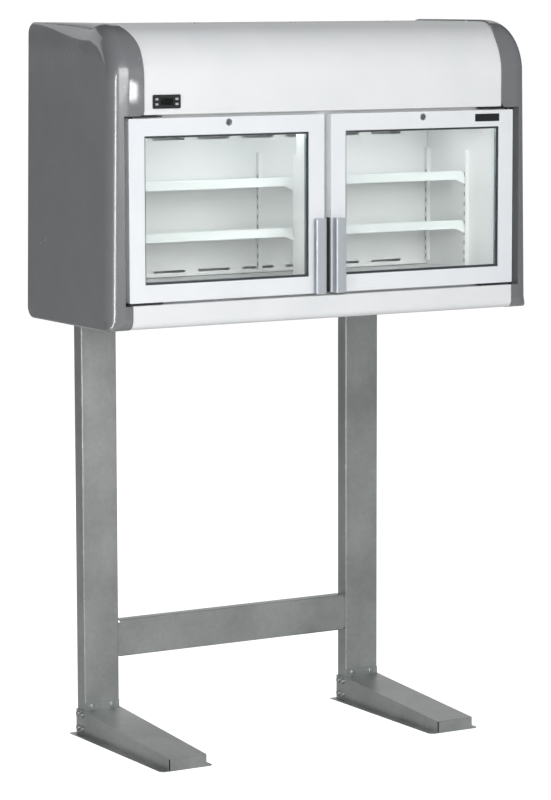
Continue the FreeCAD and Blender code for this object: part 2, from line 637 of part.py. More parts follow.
for side, word in ((-1, "left"), (1, "right")):
    skin = end_solid(side, f"{word}_end", ZERO)
    hollow = end_solid(side, f"{word}_end_hollow", d.end_wall)
    inner, outer = across(side, d.end_cover_lap - d.end_wall * 3, d.end_door_edge + d.end_wall * 2)
    profile = end_profile(d.end_wall)
    open_side = prism(f"{word}_end_open", "X", profile, inner, outer)
    cover_level = d.ledge_bottom - d.frame_flange + d.end_wall
    behind_front = block(f"{word}_end_behind", inner - 1, outer + 1, frame_front, cabinet_back + 1,
                         d.cabinet_bottom - 1, cover_level)
    cover_inner, cover_outer = across(side, d.end_cover_lap - d.end_wall * 4, d.end_top_lap + d.end_wall * 2)
    under_cover = block(f"{word}_end_under_cover", cover_inner, cover_outer, cabinet_front - 1,
                        cabinet_back + 1, cover_level, cabinet_top + 1)
    inboard = doc.addObject("Part::MultiCommon", f"{word}_end_inboard")
    inboard.Shapes = [open_side, join(f"{word}_end_free", behind_front, under_cover)]
    part(f"{word}_side_panel", cut(f"{word}_side_panel", skin, hollow, inboard))

# ---------------------------------------------------------------- covers and trims

cover_offset = d.end_wall + d.cover_gap
cover_front = cabinet_front + cover_offset
cover_top = cabinet_top - cover_offset
cover_back = cabinet_back - cover_offset
cover_radius = d.front_curve - cover_offset
cover_bottom = d.ledge_bottom + d.ledge_height
cover_half = d.end_top_lap + d.cover_tuck
cover_sheet = prism("cover_sheet", "X",
                    folded([(cover_front, cover_bottom), (cover_front, cover_top),
                            (cover_back, cover_top), (cover_back, cabinet_top - d.cover_rear_drop)],
                           d.cover_sheet, [cover_radius, d.end_corner_radius - cover_offset], -1),
                    -cover_half, cover_half)
panel_z = cabinet_top - d.panel_drop
panel_hole = block("panel_hole", -d.panel_x - d.panel_body_width / 2 - d.panel_fit,
                   -d.panel_x + d.panel_body_width / 2 + d.panel_fit, cover_front - 1,
                   cover_front + d.cover_sheet + 1, panel_z - d.panel_body_height / 2 - d.panel_fit,
                   panel_z + d.panel_body_height / 2 + d.panel_fit)
screw_y = cabinet_front + d.cover_screw_setback
screw_holes = []
small_screws = []
for step in range(-2, 3):
    x = d.cover_screw_inner * step if abs(step) < 2 else d.cover_screw_outer * (0.5 * step)
    screw_holes.append(rod("cover_screw_hole", "Z", x, screw_y, cover_top - d.cover_sheet * 2,
                           d.screw + d.bolt_clearance, d.cover_sheet * 3))
    head = rod("cover_screw_cap", "Z", x, screw_y, cover_top, d.screw_head, d.screw_head_height)
    shank = rod("cover_screw_shank", "Z", x, screw_y, cover_top - d.cover_sheet * 2, d.screw, d.cover_sheet * 2)
    small_screws.append(join("cover_screw", head, shank))
part("curved_front_cover", cut("curved_front_cover", cover_sheet, panel_hole, *screw_holes))

ledge_front = cover_front - d.ledge_proud
part("ledge_trim", prism("ledge_trim", "X",
                         folded([(frame_front, d.ledge_bottom), (ledge_front, d.ledge_bottom),
                                 (ledge_front, cover_bottom)], d.ledge_wall, [d.ledge_wall * 1.5], -1),
                         -d.end_cover_lap + d.cover_gap, d.end_cover_lap - d.cover_gap))
# two small angles under the ledge, which the lock cams turn up behind
cam_y = door_back + d.cam_gap
strikes = []
for side in (-1, 1):
    x = mirrored(side, d.lock_x)
    x0 = x - d.strike_width / 2
    x1 = x + d.strike_width / 2
    lip_y1 = cam_y - d.cam_gap / 2
    lip_y0 = lip_y1 - d.strike_thickness
    strikes.append(join("strike",
                        block("strike_top", x0, x1, lip_y0, frame_front,
                              d.ledge_bottom - d.strike_thickness, d.ledge_bottom),
                        block("strike_lip", x0, x1, lip_y0, lip_y1,
                              d.ledge_bottom - d.strike_drop, d.ledge_bottom)))
part("lock_strikes", group("lock_strikes", strikes))
trim_front = cabinet_front + d.trim_recess
trim_bottom = case_bottom - d.trim_wall
part("bottom_front_trim", prism("bottom_front_trim", "X",
                                folded([(trim_front + d.trim_lip, d.trim_top), (trim_front, d.trim_top),
                                        (trim_front, trim_bottom),
                                        (trim_front + d.case_setback + d.trim_lip, trim_bottom)],
                                       d.trim_wall, [d.trim_wall * 1.5, d.trim_radius], 1),
                                -d.end_trim_edge, d.end_trim_edge))

panel_back = cover_back - d.cover_sheet
back_plate = block("back_plate", -cover_half, cover_half, panel_back - d.machine_wall, panel_back,
                   d.case_top, cabinet_top - d.end_corner_radius)
louvres = []
louvre_base = d.case_top + d.louvre_pitch * 2
for row in range(SIZES["louvre_count"]):
    for step in (-1, 0, 1):
        x = d.louvre_width * (1.5 * step)
        z = louvre_base + d.louvre_pitch * row
        louvres.append(block("louvre", x - d.louvre_width / 2, x + d.louvre_width / 2,
                             panel_back - d.machine_wall * 2, panel_back + d.machine_wall,
                             z, z + d.louvre_height))
inlet_y = panel_back - d.machine_wall
inlet_hole = rod("inlet_hole", "Y", -inlet_x, inlet_y - d.machine_wall, d.inlet_height,
                 d.inlet_radius * 0.7 + d.bolt_clearance, d.machine_wall * 3)
part("back_panel", cut("back_panel", back_plate, inlet_hole, *louvres))
part("mains_inlet", cut("mains_inlet",
                        join("inlet_body",
                             rod("inlet_collar", "Y", -inlet_x, panel_back, d.inlet_height,
                                 d.inlet_radius, d.machine_wall * 1.25),
                             rod("inlet_neck", "Y", -inlet_x, inlet_y - d.inlet_length, d.inlet_height,
                                 d.inlet_radius * 0.7, d.inlet_length + d.machine_wall * 1.5)),
                        rod("inlet_bore", "Y", -inlet_x, inlet_y - d.inlet_length * 2, d.inlet_height,
                            d.inlet_bore, d.inlet_length * 4)))

# ---------------------------------------------------------------- refrigeration on top of the box

grommet_low = d.case_top
foot_low = grommet_low + d.grommet_height
can_low = foot_low + d.compressor_foot_sheet
grommets = []
for sx in (-1, 1):
    for sy in (-1, 1):
        x = compressor_x + d.grommet_spacing * (sx * 0.5)
        y = d.compressor_y + d.grommet_spacing * (sy * 0.5)
        grommets.append(rod("grommet", "Z", x, y, grommet_low, d.grommet_radius, d.grommet_height))
part("compressor_grommets", group("compressor_grommets", grommets))
can_body = prism("compressor_can", "Z",
                 rectangle(compressor_x - d.compressor_radius, compressor_x + d.compressor_radius,
                           d.compressor_y - d.compressor_radius * 0.8, d.compressor_y + d.compressor_radius * 0.8,
                           d.compressor_radius * 0.75), can_low, can_low + d.compressor_height)
doc.recompute()
dome_radius = d.compressor_radius.value * 0.4
dome_edges = []
for number, edge in enumerate(can_body.Shape.Edges, start=1):
    if edge.BoundBox.ZMin > (can_low + d.compressor_height).value - 0.01:
        dome_edges.append((number, dome_radius, dome_radius))
can = doc.addObject("Part::Fillet", "compressor_dome")
can.Base = can_body
can.Edges = dome_edges
compressor_base = block("compressor_base", compressor_x - d.compressor_foot / 2,
                        compressor_x + d.compressor_foot / 2, d.compressor_y - d.compressor_foot / 2,
                        d.compressor_y + d.compressor_foot / 2, foot_low, can_low)
part("compressor", join("compressor", can, compressor_base))


def finned_block(name, x0, x1, y0, y1, z0, z1):
    """A heat exchanger: one block with a row of slots between its fins."""
    whole = block(f"{name}_block", x0, x1, y0, y1, z0, z1)
    slots = []
    count = int((x1.value - x0.value - 2 * SIZES["fin_rim"]) / SIZES["fin_pitch"])
    for index in range(count):
        x = x0 + d.fin_rim + d.fin_pitch * index
        slots.append(block(f"{name}_slot", x, x + d.fin_pitch - d.fin_thickness, y0 - 1, y1 - d.fin_rim / 2,
                           z0 + d.fin_rim, z1 - d.fin_rim))
    return cut(name, whole, *slots)


cond_x0 = d.condenser_x - d.condenser_width / 2
cond_x1 = d.condenser_x + d.condenser_width / 2
cond_y0 = d.condenser_y - d.condenser_depth / 2
cond_y1 = d.condenser_y + d.condenser_depth / 2
part("condenser", finned_block("condenser", cond_x0, cond_x1, cond_y0, cond_y1, d.case_top,
                               d.case_top + d.condenser_height))

fan_z = d.case_top + d.condenser_height / 2
plate_y1 = cond_y0
plate_y0 = plate_y1 - d.fan_plate
fan_y1 = plate_y0 - d.fan_gap
fan_y0 = fan_y1 - d.fan_depth
shroud_y0 = fan_y0 - d.fan_gap
shroud = join("shroud_solid",
              block("shroud_plate", cond_x0, cond_x1, plate_y0, plate_y1, d.case_top,
                    d.case_top + d.condenser_height),
              rod("shroud_ring", "Y", d.condenser_x, shroud_y0, fan_z,
                  d.fan_radius + d.fan_tip_gap + d.fan_plate, plate_y1 - shroud_y0))
shroud = cut("shroud_open", shroud,
             rod("shroud_bore", "Y", d.condenser_x, shroud_y0 - 1, fan_z, d.fan_radius + d.fan_tip_gap,
                 plate_y1 - shroud_y0 + 2))
motor = rod("motor_can", "Y", d.condenser_x, shroud_y0 - d.motor_length, fan_z, d.motor_radius, d.motor_length)
motor_arm = block("motor_arm", cond_x0, cond_x1, shroud_y0 - d.fan_plate, shroud_y0, fan_z - d.motor_shaft * 2,
                  fan_z + d.motor_shaft * 2)
arm_posts = []
for edge, step in ((cond_x0, 1), (cond_x1, -1)):
    low, high = (edge, edge + d.fan_plate) if step > 0 else (edge - d.fan_plate, edge)
    arm_posts.append(block("motor_arm_leg", low, high, shroud_y0 - d.fan_plate, plate_y1,
                           fan_z - d.motor_shaft * 2, fan_z + d.motor_shaft * 2))
fan_shaft = rod("fan_shaft", "Y", d.condenser_x, shroud_y0 - d.fan_plate, fan_z, d.motor_shaft / 2,
                d.fan_gap + d.fan_plate + d.fan_depth / 2)
part("condenser_fan_housing", join("condenser_fan_housing", shroud, motor, motor_arm, fan_shaft, *arm_posts))


def fan_wheel(name, x, y, z, radius, hub, depth, shaft):
    """A hub with flat blades set at an angle, on a bore for its shaft."""
    core = rod(f"{name}_hub", "Y", x, y, z, hub, depth)
    blades = []
    for index in range(5):
        blade = doc.addObject("Part::Box", f"{name}_blade")
        blade.setExpression("Length", (radius - hub / 2).formula)
        blade.setExpression("Width", "1.6")
        blade.setExpression("Height", (depth * 1.35).formula)
        spin = Rotation(Vector(0, 1, 0), 72 * index)
        pitch = Rotation(Vector(1, 0, 0), 52)
        start = Vector(hub.value * 0.5, -0.8, -depth.value * 0.675)
        blade.Placement = Placement(Vector(), spin) * Placement(Vector(), pitch) * Placement(start, Rotation())
        offset = Vector(blade.Placement.Base)
        place(blade, as_size(x) + round(offset.x, 4), as_size(y) + depth / 2 + round(offset.y, 4),
              as_size(z) + round(offset.z, 4))
        blades.append(blade)
    wheel = join(f"{name}_solid", core, *blades)
    disc = rod(f"{name}_disc", "Y", x, as_size(y) - 1, z, radius, depth + 2)
    trimmed = doc.addObject("Part::MultiCommon", f"{name}_trimmed")
    trimmed.Shapes = [wheel, disc]
    bore = rod(f"{name}_bore", "Y", x, as_size(y) - 1, z, shaft + d.lock_fit, depth + 2)
    return cut(name, trimmed, bore)


part("condenser_fan", fan_wheel("condenser_fan", d.condenser_x, fan_y0, fan_z, d.fan_radius, d.fan_hub,
                                d.fan_depth, d.motor_shaft / 2))

# ---------------------------------------------------------------- evaporator duct inside the cabin

duct_low = d.liner_floor
duct_high = d.liner_ceiling
duct_sheet = folded([(liner_back, duct_low + d.duct_sheet), (duct_front, duct_low + d.duct_sheet),
                     (duct_front, duct_high - d.duct_sheet), (liner_back, duct_high - d.duct_sheet)],
                    d.duct_sheet, [d.duct_sheet * 2] * 2, -1)
duct = prism("duct_cover", "X", duct_sheet, -liner_half + d.duct_sheet, liner_half - d.duct_sheet)
duct_cuts = []
slot_pitch = liner_half / 4
slot_half = liner_half * SIZES["duct_slot_share"] / 2
for index in range(-3, 4):
    x = slot_pitch * index
    for row in (0, 1):
        z = d.duct_slot_top - d.duct_slot_height * (2 * row)
        duct_cuts.append(block("duct_slot", x - slot_half, x + slot_half,
                               duct_front - 1, duct_front + d.duct_sheet + 1, z - d.duct_slot_height, z))
for index in range(-3, 4):
    x = slot_pitch * index
    duct_cuts.append(block("duct_return", x - slot_half, x + slot_half,
                           duct_front - 1, duct_front + d.duct_sheet + 1, duct_low + d.duct_slot_height * 2,
                           duct_low + d.duct_slot_height * 3))
part("evaporator_cover", cut("evaporator_cover", duct, *duct_cuts))
evap_y1 = liner_back
evaporator_half = liner_half - d.evaporator_side_gap
part("evaporator", finned_block("evaporator", -evaporator_half, evaporator_half,
                                evap_y1 - d.evaporator_depth, evap_y1, d.evaporator_bottom,
                                d.evaporator_bottom + d.evaporator_height))
air_fan_y = liner_back - d.duct_depth / 2
air_motor = join("air_motor",
                 rod("air_motor_can", "Y", 0, air_fan_y + d.air_fan_depth / 2 + 2, d.air_fan_height,
                     d.air_fan_hub, d.duct_depth / 2 - d.air_fan_depth / 2 - 2),
                 rod("air_motor_shaft", "Y", 0, air_fan_y - d.air_fan_depth / 4, d.air_fan_height,
                     d.motor_shaft / 2, d.air_fan_depth))
part("evaporator_fan_motor", air_motor)
part("evaporator_fan", fan_wheel("evaporator_fan", ZERO, air_fan_y - d.air_fan_depth / 2, d.air_fan_height,
                                 d.air_fan_radius, d.air_fan_hub, d.air_fan_depth, d.motor_shaft / 2))


def tube(points, radius, bend):
    """A round tube along straight runs joined by arcs of one radius."""
    corners = [Vector(*point) for point in points]
    edges = []
    start = corners[0]
    for before, corner, after in zip(corners, corners[1:], corners[2:]):
        first = (corner - before).normalize()
        second = (after - corner).normalize()
        turn = first.getAngle(second)
        reach = bend * math.tan(turn / 2)
        entry = corner - first * reach
        leave = corner + second * reach
        inward = (second - first).normalize()
        middle = corner + inward * (bend / math.cos(turn / 2) - bend)
        edges.append(Part.LineSegment(start, entry).toShape())
        edges.append(Part.Arc(entry, middle, leave).toShape())
        start = leave
    edges.append(Part.LineSegment(start, corners[-1]).toShape())
    direction = (corners[1] - corners[0]).normalize()
    ring = Part.Wire(Part.makeCircle(radius, corners[0], direction))
    return Part.Wire(edges).makePipeShell([ring], True, True)


pipe_y = SIZES["pipe_y"]
can_left = (compressor_x - d.compressor_radius).value
can_right = (compressor_x + d.compressor_radius).value
can_y = SIZES["compressor_y"]
suction_x = (case_half - d.suction_edge).value
suction_z = (can_low + d.compressor_height * 0.6).value
discharge_z = (can_low + d.compressor_height * 0.45).value
liquid_z = d.case_top.value + SIZES["pipe_bend"] * 2
routes = [
    [(can_right, can_y, suction_z), (suction_x, can_y, suction_z),
     (suction_x, pipe_y, suction_z), (suction_x, pipe_y, d.case_top.value)],
    [(can_left, can_y, discharge_z), (can_left / 2, can_y, discharge_z),
     (can_left / 2, cond_y1.value - SIZES["fin_rim"] / 4, discharge_z),
     (cond_x1.value, cond_y1.value - SIZES["fin_rim"] / 4, discharge_z)],
    [(cond_x1.value, cond_y1.value - SIZES["fin_rim"] / 4, liquid_z),
     (can_left / 4, cond_y1.value - SIZES["fin_rim"] / 4, liquid_z),
     (can_left / 4, cond_y1.value - SIZES["fin_rim"] / 4, d.case_top.value)],
]
pipes = []
for number, route in enumerate(routes):
    pipe = doc.addObject("Part::Feature", f"pipe_{number}")
    pipe.Shape = tube(route, SIZES["pipe_radius"], SIZES["pipe_bend"] * 0.75)
    pipes.append(pipe)
part("refrigerant_pipes", group("refrigerant_pipes", pipes))

# ---------------------------------------------------------------- shelves

pilaster_low = d.pilaster_bottom
pilaster_high = d.pilaster_top
front_y0 = shelf_front - d.pilaster_depth / 4
front_y1 = front_y0 + d.pilaster_depth
rear_y0 = front_y1 + d.pilaster_back
rear_y1 = rear_y0 + d.pilaster_depth
pilasters = []
for y0, y1 in ((front_y0, front_y1), (rear_y0, rear_y1)):
    for side in (-1, 1):
        x0, x1 = across(side, liner_half - d.pilaster, liner_half)
        pilasters.append(block("wall_pilaster", x0, x1, y0, y1, pilaster_low, pilaster_high))
pilasters.append(block("centre_front_pilaster", -d.pilaster / 2, d.pilaster / 2, frame_front + d.mullion_depth,
                       front_y1, pilaster_low, pilaster_high))
pilasters.append(block("centre_rear_pilaster", -d.pilaster / 2, d.pilaster / 2, rear_y0, duct_front,
                       pilaster_low, pilaster_high))
part("shelf_pilasters", group("shelf_pilasters", pilasters))

clips = []
for level, word in ((0, "lower"), (1, "upper")):
    z = d.shelf_low + d.shelf_pitch * level
    for side, hand in ((-1, "left"), (1, "right")):
        inner = d.shelf_inner
        outer = liner_half - d.pilaster - d.shelf_side_gap
        x0, x1 = across(side, inner, outer)
        y1 = duct_front - d.shelf_back_gap
        name = f"{hand}_{word}_shelf"
        plate = block(f"{name}_plate", x0, x1, shelf_front, y1, z, z + d.shelf_sheet)
        corner = d.shelf_lip_corner
        lip = prism(f"{name}_lip", "Y",
                    [(x0, z), (x1, z), (x1, z + d.shelf_lip - corner, corner, 1),
                     (x1 - corner, z + d.shelf_lip), (x0 + corner, z + d.shelf_lip, corner, 1),
                     (x0, z + d.shelf_lip - corner)], shelf_front, shelf_front + d.shelf_sheet)
        stop = block(f"{name}_stop", x0, x1, y1 - d.shelf_sheet, y1, z, z + d.shelf_lip / 2)
        part(name, join(name, plate, lip, stop))
        for y0 in (front_y0 + d.pilaster_depth / 2 - d.clip_thickness / 2,
                   rear_y0 + d.pilaster_depth / 2 - d.clip_thickness / 2):
            for near, far in ((d.pilaster / 2, d.pilaster / 2 + d.clip_length),
                              (liner_half - d.pilaster, liner_half - d.pilaster - d.clip_length)):
                points = [(mirrored(side, near), z), (mirrored(side, near), z - d.clip_height),
                          (mirrored(side, far), z)]
                clockwise = (far.value > near.value) == (side < 0)
                clips.append(prism("shelf_clip", "Y", points[::-1] if clockwise else points, y0,
                                   y0 + d.clip_thickness))
part("shelf_clips", group("shelf_clips", clips))
lamp_y = frame_front + d.mullion_depth
lamp_half = liner_half - d.lamp_side_gap
part("interior_lamp", block("interior_lamp", -lamp_half, lamp_half, lamp_y, lamp_y + d.lamp_size,
                            d.liner_ceiling - d.lamp_size, d.liner_ceiling))

# ---------------------------------------------------------------- doors

pivot_x = d.door_outer - d.hinge_pivot
pivot_y = door_front + d.door_depth / 2
lock_z = d.door_top - d.lock_drop
pin_hole = d.hinge_pin + d.hinge_fit
hinges = []
for side, word in ((-1, "left"), (1, "right")):
    inner = d.door_gap / 2
    outer = d.door_outer
    x0, x1 = across(side, inner, outer)
    frame = prism(f"{word}_door_block", "Y",
                  rectangle(x0, x1, d.door_bottom, d.door_top, d.door_edge_radius), door_front, door_back)
    opening = block(f"{word}_door_opening", x0 + d.door_frame, x1 - d.door_frame, door_front - 1, door_back + 1,
                    d.door_bottom + d.door_frame, d.door_top - d.door_frame)
    seat = d.door_frame - d.pane_groove
    pane_y0 = door_front + d.pane_inset
    pane_y1 = pane_y0 + d.glass * 2 + d.pane_gap
    groove = block(f"{word}_door_groove", x0 + seat, x1 - seat, pane_y0, pane_y1,
                   d.door_bottom + seat, d.door_top - seat)
    holes = [opening, groove]
    lock_x = mirrored(side, d.lock_x)
    holes.append(rod(f"{word}_lock_hole", "Y", lock_x, door_front - 1, lock_z,
                     d.lock_body + d.lock_fit, d.door_depth + 2))
    for z in (d.door_bottom - 1, d.door_top - d.hinge_pin_reach - 2):
        holes.append(rod(f"{word}_pin_hole", "Z", mirrored(side, pivot_x), pivot_y, z, pin_hole,
                         d.hinge_pin_reach + 3))
    part(f"{word}_door_frame", cut(f"{word}_door_frame", frame, *holes))

    gap = d.pane_clearance
    px0 = x0 + seat + gap
    px1 = x1 - seat - gap
    pz0 = d.door_bottom + seat + gap
    pz1 = d.door_top - seat - gap
    front_pane = block(f"{word}_front_pane", px0, px1, pane_y0, pane_y0 + d.glass, pz0, pz1)
    back_pane = block(f"{word}_back_pane", px0, px1, pane_y1 - d.glass, pane_y1, pz0, pz1)
    part(f"{word}_door_panes", group(f"{word}_door_panes", [front_pane, back_pane]))
    rim = d.pane_groove + d.spacer_width
    part(f"{word}_pane_spacer", cut(f"{word}_pane_spacer",
                                    block(f"{word}_spacer_block", px0, px1, pane_y0 + d.glass,
                                          pane_y1 - d.glass, pz0, pz1),
                                    block(f"{word}_spacer_hole", px0 + rim, px1 - rim, pane_y0, pane_y1,
                                          pz0 + rim, pz1 - rim)))

    gx0, gx1 = across(side, inner + d.gasket_inner_inset, outer - d.gasket_hinge_inset)
    gz0 = d.door_bottom + d.gasket_bottom_inset
    gz1 = d.door_top - d.gasket_top_inset
    gasket_back = frame_front - d.gasket_gap
    part(f"{word}_door_gasket", cut(f"{word}_door_gasket",
                                    block(f"{word}_gasket_block", gx0, gx1, door_back, gasket_back, gz0, gz1),
                                    block(f"{word}_gasket_hole", gx0 + d.gasket_width, gx1 - d.gasket_width,
                                          door_back - 1, gasket_back + 1,
                                          gz0 + d.gasket_width, gz1 - d.gasket_width)))

    # handle: a folded section with its web at the meeting edge and its grip flange standing clear
    web = d.handle_inset + inner
    grip = web + d.handle_width
    foot_end = web + d.handle_foot
    front = door_front - d.handle_reach
    section = folded([(mirrored(side, foot_end), door_front), (mirrored(side, web), door_front),
                      (mirrored(side, web), front), (mirrored(side, grip), front),
                      (mirrored(side, grip), front + d.handle_lip + d.handle_wall)],
                     d.handle_wall, [d.handle_wall * 1.2, d.handle_wall * 1.6, d.handle_wall * 1.6], -side * -1)
    part(f"{word}_door_handle", prism(f"{word}_door_handle", "Z", section, d.door_bottom,
                                      d.door_bottom + d.handle_height))

    # cam lock: a fixed body through the top rail and a plug that turns the cam behind it
    body_end = cam_y - d.cam_gap / 2
    bore_radius = d.key_radius + d.lock_fit
    lock_body = join(f"{word}_lock_solid",
                     rod(f"{word}_lock_flange", "Y", lock_x, door_front - d.lock_flange, lock_z,
                         d.lock_radius, d.lock_flange),
                     rod(f"{word}_lock_sleeve", "Y", lock_x, door_front - d.lock_flange, lock_z,
                         d.lock_body, body_end - door_front + d.lock_flange))
    part(f"{word}_lock_body", cut(f"{word}_lock_body", lock_body,
                                  rod(f"{word}_lock_bore", "Y", lock_x, door_front - d.lock_flange * 2,
                                      lock_z, bore_radius, d.door_depth * 2)))
    plug = rod(f"{word}_plug", "Y", lock_x, door_front - d.lock_flange, lock_z, d.key_radius,
               cam_y - door_front + d.lock_flange)
    slot = block(f"{word}_key_slot", lock_x - d.key_radius * 0.12, lock_x + d.key_radius * 0.12,
                 door_front - d.lock_flange * 2, door_front + d.lock_flange * 2,
                 lock_z - d.key_radius * 0.7, lock_z + d.key_radius * 0.7)
    far_x = lock_x + d.cam_length * side
    cam_x = (lock_x, far_x) if side > 0 else (far_x, lock_x)
    cam = join(f"{word}_cam",
               rod(f"{word}_cam_eye", "Y", lock_x, cam_y, lock_z, d.cam_width / 2, d.cam_thickness),
               block(f"{word}_cam_arm", cam_x[0], cam_x[1], cam_y, cam_y + d.cam_thickness,
                     lock_z - d.cam_width / 2, lock_z + d.cam_width / 2))
    part(f"{word}_lock_plug", cut(f"{word}_lock_plug", join(f"{word}_plug_cam", plug, cam), slot))

    # hinge plates above and below the door, each with a pin up into the frame
    for word_z, plate_low, pin_low, flange_low, flange_high in (
            ("top", d.door_top + d.hinge_gap_top, d.door_top - d.hinge_pin_reach,
             d.door_top + d.hinge_gap_top, d.ledge_bottom - d.frame_flange),
            ("bottom", d.door_bottom - d.hinge_gap_bottom - d.hinge_plate, d.door_bottom - d.hinge_gap_bottom,
             d.door_bottom - d.hinge_gap_bottom - d.hinge_flange, d.door_bottom - d.hinge_gap_bottom)):
        plate_x = across(side, outer - d.hinge_length, outer + d.hinge_pin)
        flange_y0 = frame_front - d.hinge_plate
        plate = block(f"{word}_{word_z}_hinge_plate", plate_x[0], plate_x[1], pivot_y - d.hinge_pin * 2,
                      flange_y0, plate_low, plate_low + d.hinge_plate)
        pin_length = d.hinge_pin_reach + d.hinge_gap_top + d.hinge_plate / 2
        pin_start = pin_low if word_z == "top" else plate_low + d.hinge_plate / 2
        pin = rod(f"{word}_{word_z}_hinge_pin", "Z", mirrored(side, pivot_x), pivot_y, pin_start,
                  d.hinge_pin, pin_length)
        flange_x = plate_x if word_z == "top" else across(side, outer - d.hinge_length,
                                                          d.end_trim_edge - d.cover_gap)
        flange = block(f"{word}_{word_z}_hinge_flange", flange_x[0], flange_x[1], flange_y0, frame_front,
                       flange_low, flange_high)
        holes = []
        for share in (0.25, 0.75):
            x = plate_x[0] + (plate_x[1] - plate_x[0]) * share
            z = (flange_low + flange_high) / 2 if word_z == "bottom" else plate_low + d.hinge_plate
            if word_z == "top":
                continue
            holes.append(rod("hinge_hole", "Y", x, flange_y0 - 1, z - d.hinge_plate, d.screw + d.bolt_clearance,
                             d.hinge_plate + 2))
            small_screws.append(join("hinge_screw",
                                     rod("hinge_screw_head", "Y", x, flange_y0 - d.screw_head_height,
                                         z - d.hinge_plate, d.screw_head, d.screw_head_height),
                                     rod("hinge_screw_shank", "Y", x, flange_y0, z - d.hinge_plate,
                                         d.screw, d.hinge_plate)))
        solid = join(f"{word}_{word_z}_hinge", plate, pin, flange)
        hinges.append(cut(f"{word}_{word_z}_hinge_drilled", solid, *holes) if holes else solid)
part("hinge_plates", group("hinge_plates", hinges))
part("small_screws", group("small_screws", small_screws))

badge_z1 = d.door_top - d.badge_drop / 2
part("badge_plate", prism("badge_plate", "Y",
                          rectangle(d.badge_x - d.badge_width / 2, d.badge_x + d.badge_width / 2,
                                    badge_z1 - d.badge_height, badge_z1, d.badge_thickness),
                          door_front - d.badge_thickness, door_front))

# ---------------------------------------------------------------- controller

bezel_front = cover_front - d.panel_proud
bezel = prism("controller_bezel", "Y",
              rectangle(-d.panel_x - d.panel_width / 2, -d.panel_x + d.panel_width / 2,
                        panel_z - d.panel_height / 2, panel_z + d.panel_height / 2, d.panel_proud),
              bezel_front, cover_front)
tray = block("controller_body", -d.panel_x - d.panel_body_width / 2, -d.panel_x + d.panel_body_width / 2,
             cover_front, cover_front + d.panel_body_depth, panel_z - d.panel_body_height / 2,
             panel_z + d.panel_body_height / 2)
window_hole = block("window_hole", -d.panel_x - d.window_width / 2, -d.panel_x + d.window_width / 2,
                    bezel_front - 1, bezel_front + d.window_depth, panel_z - d.window_height / 2,
                    panel_z + d.window_height / 2)
button_holes = []
button_y0 = bezel_front - d.button_proud
button_y1 = button_y0 + d.button_length
for sx in (-1, 1):
    for sz in (-1, 1):
        x = -d.panel_x + d.button_x * sx
        z = panel_z + d.button_z * sz
        hand = "left" if sx < 0 else "right"
        row = "upper" if sz > 0 else "lower"
        hole_x = d.button_width / 2 + d.button_gap
        hole_z = d.button_height / 2 + d.button_gap
        button_holes.append(block("button_hole", x - hole_x, x + hole_x, bezel_front - 1,
                                  button_y1 + d.button_travel + d.button_gap, z - hole_z, z + hole_z))
        part(f"{hand}_{row}_button",
             prism(f"{hand}_{row}_button", "Y",
                   rectangle(x - d.button_width / 2, x + d.button_width / 2, z - d.button_height / 2,
                             z + d.button_height / 2, d.button_height * 0.45), button_y0, button_y1))
part("controller_housing", cut("controller_housing", join("controller_solid", bezel, tray),
                               window_hole, *button_holes))
part("controller_window", block("controller_window", -d.panel_x - d.window_width / 2 + d.panel_fit / 2,
                                -d.panel_x + d.window_width / 2 - d.panel_fit / 2,
                                bezel_front + d.window_depth / 3, bezel_front + d.window_depth,
                                panel_z - d.window_height / 2 + d.panel_fit / 2,
                                panel_z + d.window_height / 2 - d.panel_fit / 2))

# ---------------------------------------------------------------- check and write

doc.recompute()
for item in doc.Objects:
    if "Invalid" in item.State or "Error" in item.State:
        raise RuntimeError(f"{item.Name} ({item.Label}) could not be made: {item.State}")
for name, thing in parts.items():
    shape = thing.Shape
    if shape.isNull() or not shape.isValid() or not shape.Solids:
        raise RuntimeError(f"{name} is not a sound solid")
os.makedirs("parts", exist_ok=True)
for name, thing in parts.items():
    thing.Shape.exportStep(os.path.join("parts", f"{name}.step"))
print(len(parts), "parts written")
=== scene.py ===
import json
from math import cos, radians, sin

import bmesh
import bpy
from mathutils import Matrix, Vector


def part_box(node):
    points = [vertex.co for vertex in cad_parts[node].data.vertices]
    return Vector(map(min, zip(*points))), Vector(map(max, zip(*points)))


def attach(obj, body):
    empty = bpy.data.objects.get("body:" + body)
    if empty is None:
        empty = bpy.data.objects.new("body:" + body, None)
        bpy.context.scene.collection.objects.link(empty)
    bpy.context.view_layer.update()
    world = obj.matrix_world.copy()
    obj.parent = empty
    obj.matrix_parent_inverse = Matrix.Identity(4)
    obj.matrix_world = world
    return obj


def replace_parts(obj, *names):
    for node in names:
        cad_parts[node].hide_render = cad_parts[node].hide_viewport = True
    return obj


# Topper display freezer: finishes, finer shapes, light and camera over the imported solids.
# Metres, +Z up, X to the right, the doors face -Y.

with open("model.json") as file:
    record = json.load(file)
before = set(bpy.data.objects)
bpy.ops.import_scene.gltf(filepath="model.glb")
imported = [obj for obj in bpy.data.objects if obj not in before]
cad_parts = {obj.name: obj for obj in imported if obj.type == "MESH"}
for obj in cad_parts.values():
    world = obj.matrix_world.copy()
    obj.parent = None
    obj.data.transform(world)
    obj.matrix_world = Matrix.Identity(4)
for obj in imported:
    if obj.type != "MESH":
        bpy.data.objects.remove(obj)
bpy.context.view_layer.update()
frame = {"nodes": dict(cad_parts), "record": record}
nodes = frame["nodes"]
body_of = {node: body for body, members in frame["record"]["behaviour"]["bodies"].items() for node in members}
slot_of = {piece["node"]: piece["material_slot"] for piece in frame["record"]["subparts"]}
MM = 0.001
WELD_GAP = 2e-6       # corners nearer than this are one corner
CUT_GAP = 1e-7        # how near a cut's plane a corner counts as on it
FLAT_TURN = 0.6       # degrees: faces that turn less than this are one flat face
